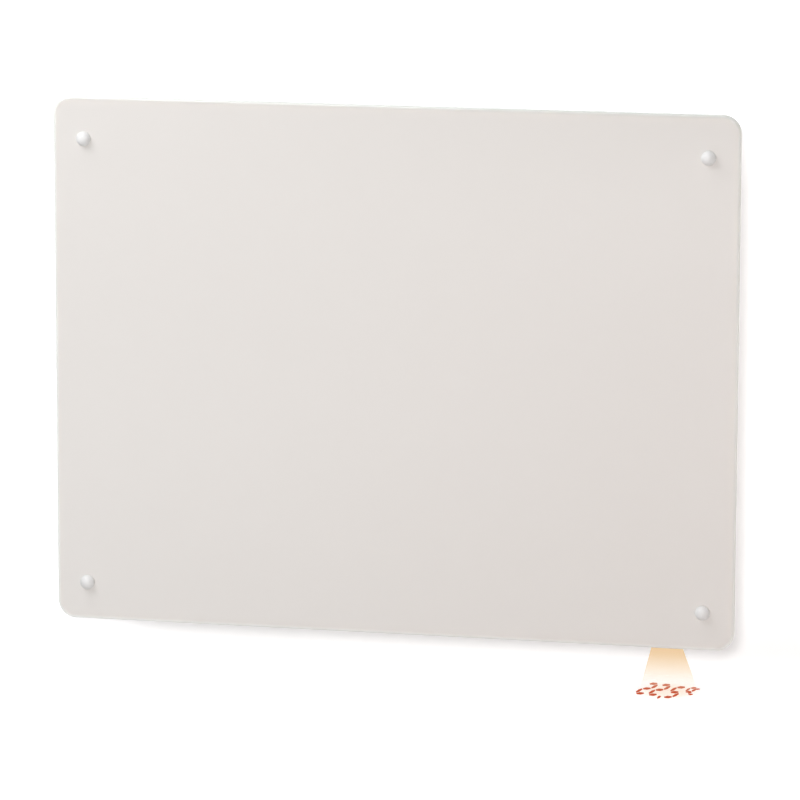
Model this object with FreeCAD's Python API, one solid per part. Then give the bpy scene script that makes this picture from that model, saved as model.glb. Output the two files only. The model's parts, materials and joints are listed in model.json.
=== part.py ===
"""Wall-hung convector heater with a glass front, as separate solids.

Frame: X to the right as seen from the room, Y into the wall, Z up, millimetres.
The origin is on the wall plane, at the centre of the wall bracket's four screw holes.
"""
import FreeCAD, Part
import math
import os

V = FreeCAD.Vector
AXIS_X = V(1, 0, 0)
AXIS_Y = V(0, 1, 0)
AXIS_Z = V(0, 0, 1)
SIDES = (-1, 1)

# Depth planes, from the wall at zero towards the room
REAR_Y = -24.0
CASING_Y = -60.0
GLASS_REAR_Y = -75.0

# Casing sheet, and how far a cutter passes the faces that it opens
SHEET = 1.0
PAST = 1.0

# Front glass and its corner studs
GLASS_WIDTH = 520.0
GLASS_HEIGHT = 400.0
GLASS_THICKNESS = 5.0
GLASS_CORNER = 14.0
GLASS_EDGE = 2.2
GLASS_HOLE = 8.0
GLASS_FRONT_Y = GLASS_REAR_Y - GLASS_THICKNESS
STUD_X = 236.3
STUD_TOP = 168.3
STUD_BOTTOM = -171.3
STUD_HEAD = 11.0
STUD_HEIGHT = 4.5
STUD_SKIRT = 0.8
STUD_SHANK = 4.8
STUD_LENGTH = 30.0
STUD_WASHER = 0.6
BUSH_CLEARANCE = 0.2
SEAL_THICKNESS = 1.0
SPACER_DIAMETER = 12.0
SPACER_BORE = 5.4
NUT_FLANGE = 10.0
NUT_FLANGE_THICKNESS = 1.0
NUT_BODY = 7.0
NUT_BORE = 5.0
NUT_BULGE = 9.6
NUT_BULGE_LENGTH = 1.6
NUT_TAPER = 1.8
NUT_LENGTH = 13.0
SPACER_END_Y = CASING_Y - NUT_FLANGE_THICKNESS

# Steel casing behind the glass
CASING_INSET = 15.0
CASING_WIDTH = GLASS_WIDTH - 2 * CASING_INSET
CASING_HEIGHT = GLASS_HEIGHT - 2 * CASING_INSET
CASING_CORNER = 6.0
CASING_BEND = 2.5
HALF_WIDTH = CASING_WIDTH / 2
HALF_HEIGHT = CASING_HEIGHT / 2
AIR_SLOT_LENGTH = 24.0
AIR_SLOT_WIDTH = 4.0
AIR_SLOT_PITCH = 29.0
AIR_SLOT_ROWS = (-54.0, -46.0, -38.0)
OUTLET_SLOTS = 16
INLET_FIRST = -220.0
INLET_SLOTS = 13

# Rear cover
COVER_GAP = 0.3
COVER_FLANGE = 8.0
BEAD_LENGTH = 150.0
BEAD_HEIGHT = 12.0
BEAD_RISE = 1.5
BEAD_LEVELS = (70.0, 0.0, -70.0)
REAR_SLOT_LENGTH = 26.0
REAR_SLOT_PITCH = 20.0
REAR_SLOTS = 21
REAR_SLOT_FIRST = -200.0
REAR_SLOT_Z = 158.0
COVER_SCREW = 3.4
COVER_SCREW_HEAD = 6.6
COVER_SCREW_RISE = 2.2
COVER_SCREW_LENGTH = 7.0
COVER_SCREW_Y = -28.5
COVER_SCREW_LEVELS = (-130.0, 10.0, 130.0)
COVER_SCREW_STATIONS = (-121.0, 121.0)

# Wall bracket: two folded uprights with hooks, and two flat rails
BRACKET_SHEET = 1.5
UPRIGHT_X = 130.0
UPRIGHT_WIDTH = 28.0
UPRIGHT_DEPTH = 9.0
UPRIGHT_BOTTOM = -155.0
UPRIGHT_TOP = 146.0
RAIL_LEVEL = 80.0
RAIL_HEIGHT = 30.0
RAIL_LAP = 3.0
WALL_SCREW_HOLE = 6.0
WALL_SCREW_Z = 105.0
PIVOT_Y = -13.0
PIVOT_Z = 130.0
PIN_DIAMETER = 6.0
PIN_CLEARANCE = 0.08
PIN_OVERHANG = 1.5
PIN_CHAMFER = 0.6
HOOK_LIP = 2.6
HOOK_CHIN = 7.0
HOOK_MOUTH_Z = 140.5
HOOK_FOOT_Z = 112.0

# Keepers that swing over the hooks' mouths
KEEPER_Y = -6.0
KEEPER_Z = 138.5
KEEPER_SHEET = 2.0
KEEPER_HOLE = 4.1
KEEPER_BOSS = 8.4
KEEPER_REACH = 12.4
KEEPER_PIN_GAP = 0.9
KEEPER_ARM_RISE = 1.4
KEEPER_ARM_CORNER = 1.2
KEEPER_SIDE_GAP = 0.3
KEEPER_TAB_OVERHANG = 2.2
KEEPER_TAB_LENGTH = 3.6
KEEPER_TAB_THICKNESS = 1.6
KEEPER_TAB_GAP = 0.3
KEEPER_RIVET = 4.0
KEEPER_RIVET_HEAD = 6.4
KEEPER_RIVET_RISE = 1.2
KEEPER_RIVET_BEVEL = 0.8

# Hangers on the rear cover, and the buffers below them
HANGER_EAR_GAP = 3.5
HANGER_SHEET = 1.5
HANGER_EAR_Z = (116.0, 136.0)
HANGER_EAR_NOSE = 12.0
HANGER_TONGUE_Z = (102.0, 134.0)
HANGER_RIVET_Z = 109.0
HANGER_RIVET_STEPS = (-8.0, 8.0)
BUFFER_DIAMETER = 14.0
BUFFER_FOOT = 18.0
BUFFER_FOOT_HEIGHT = 3.0
BUFFER_TIP_BEVEL = 2.0
BUFFER_Z = -138.0
BUFFER_GAP = 0.3

# Blind rivets
RIVET = 3.2
RIVET_HEAD = 6.4
RIVET_CROWN = 3.8
RIVET_RISE = 1.0
RIVET_SET = 4.6
RIVET_SET_LENGTH = 1.8
RIVET_PIT = 1.8
RIVET_PIT_DEPTH = 0.7

# Cross recess of the screws, as shares of the head's diameter and rise
CROSS_SPAN = 0.55
CROSS_WIDTH = 0.15
CROSS_DEPTH = 0.6

# Heating element: a finned cross of wings on a core, round a sheathed rod
ELEMENT_Y = -42.0
ELEMENT_Z = -95.0
ELEMENT_START = -202.0
ELEMENT_END = 124.0
ELEMENT_REACH_Y = 10.5
ELEMENT_REACH_Z = 29.0
WING_THICKNESS = 2.4
WING_ROUND = 0.95
FIN_PITCH = 9.0
FIN_SLIT = 3.0
CORE_DIAMETER = 16.0
SHEATH_DIAMETER = 8.0
SHEATH_CLEARANCE = 0.05
SHEATH_OVERHANG = 15.0
INSULATOR_DIAMETER = 9.0
INSULATOR_TIP = 6.0
INSULATOR_RIM = 3.0
INSULATOR_LENGTH = 6.0
TERMINAL_DIAMETER = 3.0
TERMINAL_LENGTH = 9.0
BUSH_DIAMETER = 15.0
BUSH_NECK = 11.0
BUSH_LENGTH = 5.0
SUPPORT_DISTANCE = 8.0
SUPPORT_HALF_HEIGHT = 38.0
SUPPORT_FOOT = 12.0
SUPPORT_FIXING_Z = 29.0

# Heat shield, divider and overheat cut-out
SHIELD_SHEET = 0.8
SHIELD_SPAN = (-224.0, 140.0)
SHIELD_Y = -55.5
SHIELD_BOTTOM = -150.0
SHIELD_TOP = 50.0
SHIELD_SCREW = 2.9
SHIELD_SCREW_HEAD = 5.2
SHIELD_SCREW_RISE = 1.6
SHIELD_SCREW_LENGTH = 4.5
DIVIDER_X = 150.0
DIVIDER_HALF_HEIGHT = 174.0
DIVIDER_FOOT = 9.0
DIVIDER_RIVET_INSET = 4.0
DIVIDER_RIVET_LEVELS = (-60.0, 40.0, 140.0)
LEAD_HOLE = 9.0
CUTOUT_X = 60.0
CUTOUT_Z = -20.0
CUTOUT_DIAMETER = 16.0
CUTOUT_CAP_HEIGHT = 2.6
CUTOUT_BODY = 14.0
CUTOUT_HEIGHT = 9.0
CUTOUT_FLANGE = (32.0, 9.0, 0.8)
CUTOUT_BLADES = (56.0, 64.0)
BLADE_WIDTH = 4.8
BLADE_THICKNESS = 0.8
BLADE_HALF_FOOT = 3.0
BLADE_REACH = 5.3
CUTOUT_LEAD_Z = -44.0

# Control housing at the lower right
CONTROL_Y = -45.5
HOUSING_X = (186.0, 243.7)
HOUSING_Y = (-58.0, -34.0)
HOUSING_Z = (-183.6, -60.0)
HOUSING_WALL = 2.0
HOUSING_CORNER = 2.5
STUD_ROOM = 1.4
LEAD_ROOM = 0.8
LID_THICKNESS = 1.8
LID_END_X = 241.5
VENTS = 5
VENT_X = 211.0
VENT_FIRST_Z = -112.0
VENT_PITCH = 7.0
VENT_SIZE = (26.0, 2.4)
POST_X = (189.8, 238.0)
POST_Z = (-178.6, -65.0)
POST_DIAMETER = 4.8
BOARD_POST = 6.0
PILOT_DEPTH = 7.0
SMALL_SCREW = 2.4
SMALL_SCREW_HEAD = 4.6
SMALL_SCREW_RISE = 1.5
SMALL_SCREW_GRIP = 6.0
UPPER_EAR = (211.0, -54.0)
LOWER_EAR = (180.0, -166.0)
EAR_DIAMETER = 10.0
EAR_STUD = 4.0
EAR_STUD_PROUD = 5.0
EAR_NUT = 8.0
EAR_NUT_HEIGHT = 3.2

# Fascia, push buttons and rocker switch in the right side
FASCIA_Y = (-56.0, -35.0)
FASCIA_Z = (-175.0, -64.0)
FASCIA_PLATE = 2.0
FASCIA_CORNER = 3.0
FASCIA_EDGE = 0.8
FASCIA_PLUG = 3.0
FASCIA_PLUG_WALL = 1.4
FASCIA_LAP = 1.6
FASCIA_GAP = 0.2
FASCIA_HOLE_CORNER = 1.5
BUTTON_LEVELS = {"button_plus": -80.0, "button_mode": -100.0, "button_minus": -120.0}
BUTTON_DIAMETER = 9.0
BUTTON_GAP = 0.3
BUTTON_FLANGE = 12.0
BUTTON_FLANGE_BACK = 2.0
BUTTON_COLLAR = 13.0
BUTTON_PROUD = 1.6
BUTTON_STEM = 4.0
BUTTON_STEM_REACH = 5.3
BUTTON_DISH = 0.6
SWITCH_Z = -153.0
SWITCH_BODY = (13.0, 19.2)
SWITCH_BEZEL = (16.0, 22.0)
SWITCH_BEZEL_THICKNESS = 1.6
SWITCH_BEZEL_CORNER = 2.0
SWITCH_BEZEL_EDGE = 0.6
SWITCH_DEPTH = 15.0
SWITCH_BLADE_STEPS = (-4.0, 4.0)
SWITCH_BLADE_LENGTH = 6.0
SWITCH_WELL_DEPTH = 6.0
SWITCH_WELL_HEIGHT = 17.0
ROCKER_WIDTH = 8.6
ROCKER_SIDE_GAP = 0.4
ROCKER_HALF = 7.6
ROCKER_HORN = 3.6
ROCKER_WAIST = 1.9
ROCKER_SHOULDER = 0.5
ROCKER_KEEL = 4.5
ROCKER_KEEL_HALF = 2.5
ROCKER_ROUND = 0.5
ROCKER_TILT = 8.0
ROCKER_PIVOT = 2.4
ROCKER_PIVOT_STUB = 0.9
ROCKER_PIVOT_X = 245.0

# Control board and what stands on it
BOARD_THICKNESS = 1.6
BOARD_Y = -39.6
BOARD_X = (195.0, 227.0)
BOARD_Z = (-146.0, -69.0)
BOARD_FIXING_INSET = 3.5
CONNECTOR_X = (199.0, 208.0)
CONNECTOR_SIZE = (6.5, 8.0)
TALL_PARTS_X = (211.0, 225.0)
RELAY_Z = (-120.0, -100.0)
RELAY_HEIGHT = 14.5
RELAY_CORNER = 1.0
CORE_Z = (-94.0, -80.0)
CORE_HEIGHTS = (2.0, 12.0)
BOBBIN_MARGIN = (2.0, 3.0)
BOBBIN_HEIGHT = 13.5
CAPACITOR_PLACE = (215.0, -130.0)
CAPACITOR_DIAMETER = 9.2
CAPACITOR_GROOVE = (1.6, 2.8)
CAPACITOR_GROOVE_DEPTH = 0.4
CAPACITOR_HEIGHT = 14.0
CAPACITOR_BEVEL = 0.7
BUTTON_BOARD_X = 229.5
BUTTON_BOARD_THICKNESS = 1.2
BUTTON_BOARD_Z = (-132.0, -69.5)
BUTTON_BOARD_END_Y = -37.5
TACT_SIZE = 6.0
TACT_HEIGHT = 3.5
TACT_PLUNGER = 3.4
TACT_PLUNGER_HEIGHT = 4.5

# Temperature projector and room sensor in the bottom flange
PROJECTOR_X = 206.0
PROJECTOR_WINDOW = (24.0, 13.0)
PROJECTOR_CORNER = 2.0
PROJECTOR_WALL = 1.6
PROJECTOR_TOP = -150.0
PROJECTOR_BEZEL = 2.0
PROJECTOR_BEZEL_THICKNESS = 1.5
PROJECTOR_BEZEL_EDGE = 0.6
WINDOW_FIT = 0.1
LENS_RECESS = 0.6
LENS_HEIGHT = 5.5
LENS_BOW = 30.0
SLIDE_Z = (-165.0, -163.8)
LAMP_BOARD = 1.2
EMITTER_DIAMETER = 5.0
SENSOR_X = 231.0
SENSOR_DIAMETER = 5.0
SENSOR_ROOM = 0.6
SENSOR_FIT = 0.2
SENSOR_DROP = 5.5
SENSOR_FLANGE = 8.0
SENSOR_FLANGE_THICKNESS = 1.2

# Cord inlet, terminal block, earth stud and inner leads
GROMMET_X = 169.0
GROMMET_BORE = 7.2
GROMMET_NECK = 12.0
GROMMET_FLANGE = 17.0
GROMMET_DROP = 3.0
GROMMET_RIM = 1.2
GROMMET_BEVEL = 2.5
GROMMET_SNAP = 15.4
GROMMET_SNAP_HEIGHT = 2.0
TERMINAL_BLOCK_Z = -140.0
TERMINAL_PITCH = 7.0
TERMINAL_BASE = (25.0, 6.0, 18.0)
TERMINAL_TOWER = (5.8, 14.0)
TERMINAL_TOWER_FRONT = 5.0
TERMINAL_SCREW = 3.6
TERMINAL_SCREW_FIT = 0.2
TERMINAL_SCREW_SINK = 0.8
TERMINAL_SCREW_LENGTH = 2.6
TERMINAL_SCREW_SLOT = (0.7, 0.9)
TERMINAL_SCREW_WELL = 3.5
TERMINAL_WIRE_ROOM = 0.4
EARTH_Z = -104.0
EARTH_TAG = (9.0, 1.0)
EARTH_NUT = (7.2, 4.0)
EARTH_STUD = (4.0, 9.0)
EARTH_LEAD_Y = -31.0
EARTH_LEAD_END = 4.5
EARTH_LEAD_TURN = (14.0, 6.0)
LEAD_DIAMETER = 2.4
LEAD_BEND = 6.0
LEAD_ENTRY = 2.0
LEAD_LEVELS = (-80.5, -90.0, -110.0, -122.0)
ELEMENT_LEAD_TURNS = (166.0, 177.0)
LEFT_RISER_X = -239.0
RUN_Z = -38.0

# Faces that several pieces share
COVER_INSIDE_Y = REAR_Y - SHEET
CASING_INSIDE_Y = CASING_Y + SHEET
FLANGE_X = HALF_WIDTH - SHEET
FASCIA_X = HALF_WIDTH + FASCIA_PLATE
PLUG_X = HALF_WIDTH - FASCIA_PLUG
HOUSING_INSIDE_Y = HOUSING_Y[0] + HOUSING_WALL
BLADE_BACK_Y = SHIELD_Y + CUTOUT_HEIGHT


def block(x, y, z):
    """Box between three (low, high) spans."""
    return Part.makeBox(x[1] - x[0], y[1] - y[0], z[1] - z[0], V(x[0], y[0], z[0]))


def about(middle, size):
    """Span of a size about its middle."""
    return (middle - size / 2, middle + size / 2)


def edges_along(solid, axis):
    """Straight edges that run along one axis."""
    found = []
    for edge in solid.Edges:
        if edge.Curve.TypeId == "Part::GeomLine" and abs(edge.Curve.Direction.dot(axis)) > 0.99:
            found.append(edge)
    return found


def edges_at(solid, axis, level):
    """Edges that lie wholly in one plane across an axis."""
    found = []
    for edge in solid.Edges:
        heights = [point.dot(axis) for point in edge.discretize(5)]
        if max(abs(height - level) for height in heights) < 0.001:
            found.append(edge)
    return found


def rounded_block(x, y, z, radius, axis):
    """Box with its four edges along one axis rounded."""
    solid = block(x, y, z)
    return solid.makeFillet(radius, edges_along(solid, axis))


def rod(start, end, diameter):
    """Cylinder from one point to another."""
    run = end - start
    return Part.makeCylinder(diameter / 2, run.Length, start, run)


def hole(place, axis, depth, diameter):
    """Round cutter from just before a place to just past a depth."""
    return rod(place - axis * PAST, place + axis * (depth + PAST), diameter)


def turned(outline, origin, axis, arcs=None):
    """Solid turned from (radius, height) points; arcs bends a stretch, by index, through a point."""
    side = AXIS_X if abs(axis.x) < 0.5 else AXIS_Z
    places = [origin + side * radius + axis * height for radius, height in outline]
    edges = []
    for index, place in enumerate(places):
        following = places[(index + 1) % len(places)]
        if arcs and index in arcs:
            radius, height = arcs[index]
            middle = origin + side * radius + axis * height
            edges.append(Part.Arc(place, middle, following).toShape())
        else:
            edges.append(Part.LineSegment(place, following).toShape())
    return Part.Face(Part.Wire(edges)).revolve(origin, axis, 360)


def crown_middle(radius, rise):
    """Middle of a crown's arc from rim to apex: its (radius, height) above the rim."""
    crown = (radius ** 2 + rise ** 2) / (2 * rise)
    half_angle = math.asin(min(1.0, radius / crown)) / 2
    return (crown * math.sin(half_angle), rise - crown + crown * math.cos(half_angle))


def slot(centre, length, width, depth, run, through):
    """Round-ended slot cutter, centred on a point."""
    side = through.cross(run)
    radius = width / 2
    straight = run * (length / 2 - radius)
    base = centre - through * (depth / 2)
    first = base + straight + side * radius
    second = base - straight + side * radius
    third = base - straight - side * radius
    fourth = base + straight - side * radius
    near_end = base - straight - run * radius
    far_end = base + straight + run * radius
    edges = [
        Part.LineSegment(first, second).toShape(),
        Part.Arc(second, near_end, third).toShape(),
        Part.LineSegment(third, fourth).toShape(),
        Part.Arc(fourth, far_end, first).toShape(),
    ]
    return Part.Face(Part.Wire(edges)).extrude(through * depth)


def folded(points, thickness, run):
    """Folded sheet: a thick line through points, rounded outside each bend, drawn out along a run."""
    return Part.makePolygon(points).makeOffset2D(thickness, 0, True, True).extrude(run)


def plate(points, run):
    """Flat plate with straight edges through points, drawn out along a run."""
    return Part.Face(Part.makePolygon(points + points[:1])).extrude(run)


def bent_rod(points, diameter, bend):
    """Round rod along straight runs that tangent arcs join."""
    edges = []
    start = points[0]
    for before, corner, after in zip(points, points[1:], points[2:]):
        inward = (before - corner).normalize()
        outward = (after - corner).normalize()
        half_angle = inward.getAngle(outward) / 2
        reach = bend / math.tan(half_angle)
        entry = corner + inward * reach
        leave = corner + outward * reach
        middle = corner + (inward + outward).normalize() * (bend / math.sin(half_angle) - bend)
        edges.append(Part.LineSegment(start, entry).toShape())
        edges.append(Part.Arc(entry, middle, leave).toShape())
        start = leave
    edges.append(Part.LineSegment(start, points[-1]).toShape())
    circle = Part.Wire(Part.makeCircle(diameter / 2, points[0], points[1] - points[0]))
    return Part.Wire(edges).makePipeShell([circle], True, True)


def screw(seat, drive, shank, length, head, rise):
    """Cross-recessed screw: the pan head stands back from its seat, the shank runs along the drive."""
    bevel = rise / 2
    outline = [
        (0, -rise),
        (head / 2 - bevel, -rise),
        (head / 2, -rise + bevel),
        (head / 2, 0),
        (shank / 2, 0),
        (shank / 2, length),
        (0, length),
    ]
    above = seat - drive * (rise + PAST)
    run = drive * (PAST + rise * CROSS_DEPTH)
    across = AXIS_X if drive.x == 0 else AXIS_Z
    arms = []
    for long_way, short_way in ((across, drive.cross(across)), (drive.cross(across), across)):
        reach = long_way * (head * CROSS_SPAN / 2)
        width = short_way * (head * CROSS_WIDTH / 2)
        corners = [above + reach + width, above + reach - width, above - reach - width, above - reach + width]
        arms.append(plate(corners, run))
    return turned(outline, seat, drive).cut(arms)


def stud_places(y):
    """The four corner studs' centres in one depth plane."""
    return [V(side * STUD_X, y, z) for z in (STUD_TOP, STUD_BOTTOM) for side in SIDES]


def group(solids):
    """Separate solids kept as one node."""
    return Part.makeCompound(solids)


# Front glass and corner studs


def make_front_glass():
    """Flat pane with round corners, round polished edges and four stud holes."""
    wide = about(0, GLASS_WIDTH)
    tall = about(0, GLASS_HEIGHT)
    glass = rounded_block(wide, (GLASS_FRONT_Y, GLASS_REAR_Y), tall, GLASS_CORNER, AXIS_Y)
    rims = edges_at(glass, AXIS_Y, GLASS_FRONT_Y) + edges_at(glass, AXIS_Y, GLASS_REAR_Y)
    glass = glass.makeFillet(GLASS_EDGE, rims)
    places = stud_places(GLASS_FRONT_Y)
    return glass.cut([hole(place, AXIS_Y, GLASS_THICKNESS, GLASS_HOLE) for place in places])


def make_stud_screws():
    """Domed studs with a short skirt, on shanks that reach the rivet nuts."""
    base_y = GLASS_FRONT_Y - STUD_WASHER
    radius = STUD_HEAD / 2
    shank = STUD_SHANK / 2
    middle_radius, middle_rise = crown_middle(radius, STUD_HEIGHT - STUD_SKIRT)
    crown = {4: (middle_radius, STUD_SKIRT + middle_rise)}
    outline = [
        (0, -STUD_LENGTH),
        (shank, -STUD_LENGTH),
        (shank, 0),
        (radius, 0),
        (radius, STUD_SKIRT),
        (0, STUD_HEIGHT),
    ]
    return group([turned(outline, place, -AXIS_Y, crown) for place in stud_places(base_y)])


def make_rings(outer, inner, start_y, end_y):
    """Four equal rings about the studs between two depth planes."""
    rings = []
    for place in stud_places(start_y):
        far = place + AXIS_Y * (end_y - start_y)
        rings.append(rod(place, far, outer).cut(rod(place, far, inner)))
    return group(rings)


def make_rivet_nuts():
    """Flanged nuts set into the casing, each with the bulge that grips the sheet."""
    bore = NUT_BORE / 2
    flange = NUT_FLANGE / 2
    neck = NUT_BODY / 2
    bulge = NUT_BULGE / 2
    sheet_end = NUT_FLANGE_THICKNESS + SHEET
    bulge_end = sheet_end + NUT_BULGE_LENGTH
    outline = [
        (bore, 0),
        (flange, 0),
        (flange, NUT_FLANGE_THICKNESS),
        (neck, NUT_FLANGE_THICKNESS),
        (neck, sheet_end),
        (bulge, sheet_end),
        (bulge, bulge_end),
        (neck, bulge_end + NUT_TAPER),
        (neck, NUT_LENGTH),
        (bore, NUT_LENGTH),
    ]
    return group([turned(outline, place, AXIS_Y) for place in stud_places(SPACER_END_Y)])


# Steel casing


def air_slots(count, first_x, level):
    """Cutters for rows of air slots through the top or bottom flange."""
    cutters = []
    for row_y in AIR_SLOT_ROWS:
        for index in range(count):
            centre = V(first_x + index * AIR_SLOT_PITCH, row_y, level)
            cutters.append(slot(centre, AIR_SLOT_LENGTH, AIR_SLOT_WIDTH, 4 * SHEET, AXIS_X, AXIS_Z))
    return cutters


def cover_screw_places():
    """Head seats of the cover screws on the casing's sides, each with its driving direction."""
    places = []
    for side in SIDES:
        for level in COVER_SCREW_LEVELS:
            places.append((V(side * HALF_WIDTH, COVER_SCREW_Y, level), V(-side, 0, 0)))
        for station in COVER_SCREW_STATIONS:
            places.append((V(station, COVER_SCREW_Y, side * HALF_HEIGHT), V(0, 0, -side)))
    return places


def casing_tray(inset, front_y, corner, bend):
    """Filled tray of the casing's outline, inset all round, with its front rim rounded."""
    wide = about(0, CASING_WIDTH - 2 * inset)
    tall = about(0, CASING_HEIGHT - 2 * inset)
    tray = rounded_block(wide, (front_y, REAR_Y), tall, corner, AXIS_Y)
    return tray.makeFillet(bend, edges_at(tray, AXIS_Y, front_y))


def projector_opening(margin, z):
    """Block the size of the projector window, with a margin all round."""
    x = about(PROJECTOR_X, PROJECTOR_WINDOW[0] + 2 * margin)
    y = about(CONTROL_Y, PROJECTOR_WINDOW[1] + 2 * margin)
    return rounded_block(x, y, z, PROJECTOR_CORNER, AXIS_Z)


def fascia_opening(margin, x):
    """Block that fits the fascia's opening in the side flange, with a margin all round."""
    y = (FASCIA_Y[0] + FASCIA_LAP - margin, FASCIA_Y[1] - FASCIA_LAP + margin)
    z = (FASCIA_Z[0] + FASCIA_LAP - margin, FASCIA_Z[1] - FASCIA_LAP + margin)
    return rounded_block(x, y, z, FASCIA_HOLE_CORNER, AXIS_X)


def bottom_place(x):
    """Place on the bottom flange's outer face, in line with the controls."""
    return V(x, CONTROL_Y, -HALF_HEIGHT)


def make_front_casing():
    """Slotted steel tray with openings for the projector, fascia, sensor, cord and fasteners."""
    outer = casing_tray(0, CASING_Y, CASING_CORNER, CASING_BEND)
    inner = casing_tray(SHEET, CASING_INSIDE_Y, CASING_CORNER - SHEET, CASING_BEND - SHEET)
    outlet_first = -(OUTLET_SLOTS - 1) * AIR_SLOT_PITCH / 2
    cutters = [inner]
    cutters += air_slots(OUTLET_SLOTS, outlet_first, HALF_HEIGHT)
    cutters += air_slots(INLET_SLOTS, INLET_FIRST, -HALF_HEIGHT)
    floor = (-HALF_HEIGHT - PAST, -HALF_HEIGHT + SHEET + PAST)
    cutters.append(projector_opening(PROJECTOR_WALL + FASCIA_GAP, floor))
    cutters.append(fascia_opening(0, (FLANGE_X - PAST, HALF_WIDTH + PAST)))
    cutters.append(hole(bottom_place(SENSOR_X), AXIS_Z, SHEET, SENSOR_DIAMETER + SENSOR_ROOM))
    cutters.append(hole(bottom_place(GROMMET_X), AXIS_Z, SHEET, GROMMET_NECK))
    for place in stud_places(CASING_Y):
        cutters.append(hole(place, AXIS_Y, SHEET, NUT_BODY))
    for place, inward in cover_screw_places():
        cutters.append(hole(place, inward, SHEET, COVER_SCREW))
    return outer.cut(cutters)


def make_rear_cover():
    """Shallow flanged cover with pressed beads, a row of upright slots and its fixing holes."""
    inset = SHEET + COVER_GAP
    corner = CASING_CORNER - inset
    front = REAR_Y - COVER_FLANGE
    wide = about(0, CASING_WIDTH - 2 * inset)
    tall = about(0, CASING_HEIGHT - 2 * inset)
    outer = rounded_block(wide, (front, REAR_Y), tall, corner, AXIS_Y)
    inner_wide = (wide[0] + SHEET, wide[1] - SHEET)
    inner_tall = (tall[0] + SHEET, tall[1] - SHEET)
    inner = rounded_block(inner_wide, (front - PAST, COVER_INSIDE_Y), inner_tall, corner - SHEET, AXIS_Y)
    pads = []
    cutters = [inner]
    hollow_length = BEAD_LENGTH - 2 * SHEET
    hollow_height = BEAD_HEIGHT - 2 * SHEET
    for level in BEAD_LEVELS:
        pad = V(0, REAR_Y + BEAD_RISE / 2, level)
        hollow = V(0, COVER_INSIDE_Y + BEAD_RISE / 2, level)
        pads.append(slot(pad, BEAD_LENGTH, BEAD_HEIGHT, BEAD_RISE, AXIS_X, AXIS_Y))
        cutters.append(slot(hollow, hollow_length, hollow_height, BEAD_RISE, AXIS_X, AXIS_Y))
    for index in range(REAR_SLOTS):
        centre = V(REAR_SLOT_FIRST + index * REAR_SLOT_PITCH, REAR_Y, REAR_SLOT_Z)
        cutters.append(slot(centre, REAR_SLOT_LENGTH, AIR_SLOT_WIDTH, 4 * SHEET, AXIS_Z, AXIS_Y))
    for place, inward in cover_screw_places():
        cutters.append(hole(place, inward, inset + SHEET, COVER_SCREW))
    for fixings in (support_fixings, divider_fixings, hanger_fixings):
        cutters += [hole(place, AXIS_Y, SHEET, RIVET) for place in fixings(COVER_INSIDE_Y)]
    return outer.fuse(pads).cut(cutters).removeSplitter()


def make_cover_screws():
    screws = []
    for place, inward in cover_screw_places():
        screws.append(
            screw(place, inward, COVER_SCREW, COVER_SCREW_LENGTH, COVER_SCREW_HEAD, COVER_SCREW_RISE)
        )
    return group(screws)


# Wall bracket, keepers, hangers and buffers


def cheek_starts(side):
    """Low X faces of an upright's two flanges."""
    wide = about(side * UPRIGHT_X, UPRIGHT_WIDTH)
    return (wide[0], wide[1] - BRACKET_SHEET)


def hook_cheek(x):
    """One hook plate with a mouth open at the top and a half-round seat for the hanger pin."""
    seat = PIN_DIAMETER / 2 + PIN_CLEARANCE
    root = -BRACKET_SHEET
    back = PIVOT_Y + seat
    front = PIVOT_Y - seat
    tip = front - HOOK_LIP
    chin = PIVOT_Z - HOOK_CHIN
    corners = [
        (back, UPRIGHT_TOP),
        (root, UPRIGHT_TOP),
        (root, HOOK_FOOT_Z),
        (-UPRIGHT_DEPTH, HOOK_FOOT_Z),
        (tip, chin),
        (tip, HOOK_MOUTH_Z),
        (front, HOOK_MOUTH_Z),
        (front, PIVOT_Z),
    ]
    places = [V(x, y, z) for y, z in corners]
    seat_end = V(x, back, PIVOT_Z)
    edges = [Part.LineSegment(start, end).toShape() for start, end in zip(places, places[1:])]
    edges.append(Part.Arc(places[-1], V(x, PIVOT_Y, PIVOT_Z - seat), seat_end).toShape())
    edges.append(Part.LineSegment(seat_end, places[0]).toShape())
    return Part.Face(Part.Wire(edges)).extrude(AXIS_X * BRACKET_SHEET)


def make_upright(side):
    """Folded channel against the wall, open towards the room, with a hook on each flange."""
    inside = about(side * UPRIGHT_X, UPRIGHT_WIDTH - 2 * BRACKET_SHEET)
    points = [
        V(inside[1], -UPRIGHT_DEPTH, UPRIGHT_BOTTOM),
        V(inside[1], -BRACKET_SHEET, UPRIGHT_BOTTOM),
        V(inside[0], -BRACKET_SHEET, UPRIGHT_BOTTOM),
        V(inside[0], -UPRIGHT_DEPTH, UPRIGHT_BOTTOM),
    ]
    channel = folded(points, BRACKET_SHEET, AXIS_Z * (UPRIGHT_TOP - UPRIGHT_BOTTOM))
    return channel.fuse([hook_cheek(start) for start in cheek_starts(side)])


def make_wall_bracket():
    """Two uprights that two flat rails join, with the wall screws' holes and the keepers' holes."""
    rail_end = UPRIGHT_X - UPRIGHT_WIDTH / 2 + RAIL_LAP
    rails = []
    for level in (-RAIL_LEVEL, RAIL_LEVEL):
        rails.append(block((-rail_end, rail_end), (-BRACKET_SHEET, 0), about(level, RAIL_HEIGHT)))
    holes = []
    for side in SIDES:
        outer_cheek = V(keeper_plane(side), KEEPER_Y, KEEPER_Z)
        holes.append(hole(outer_cheek, V(side, 0, 0), BRACKET_SHEET, KEEPER_RIVET))
        for level in (-WALL_SCREW_Z, WALL_SCREW_Z):
            place = V(side * UPRIGHT_X, -BRACKET_SHEET, level)
            holes.append(hole(place, AXIS_Y, BRACKET_SHEET, WALL_SCREW_HOLE))
    bracket = make_upright(-1).fuse([make_upright(1)] + rails).removeSplitter()
    return bracket.cut(holes)


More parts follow.
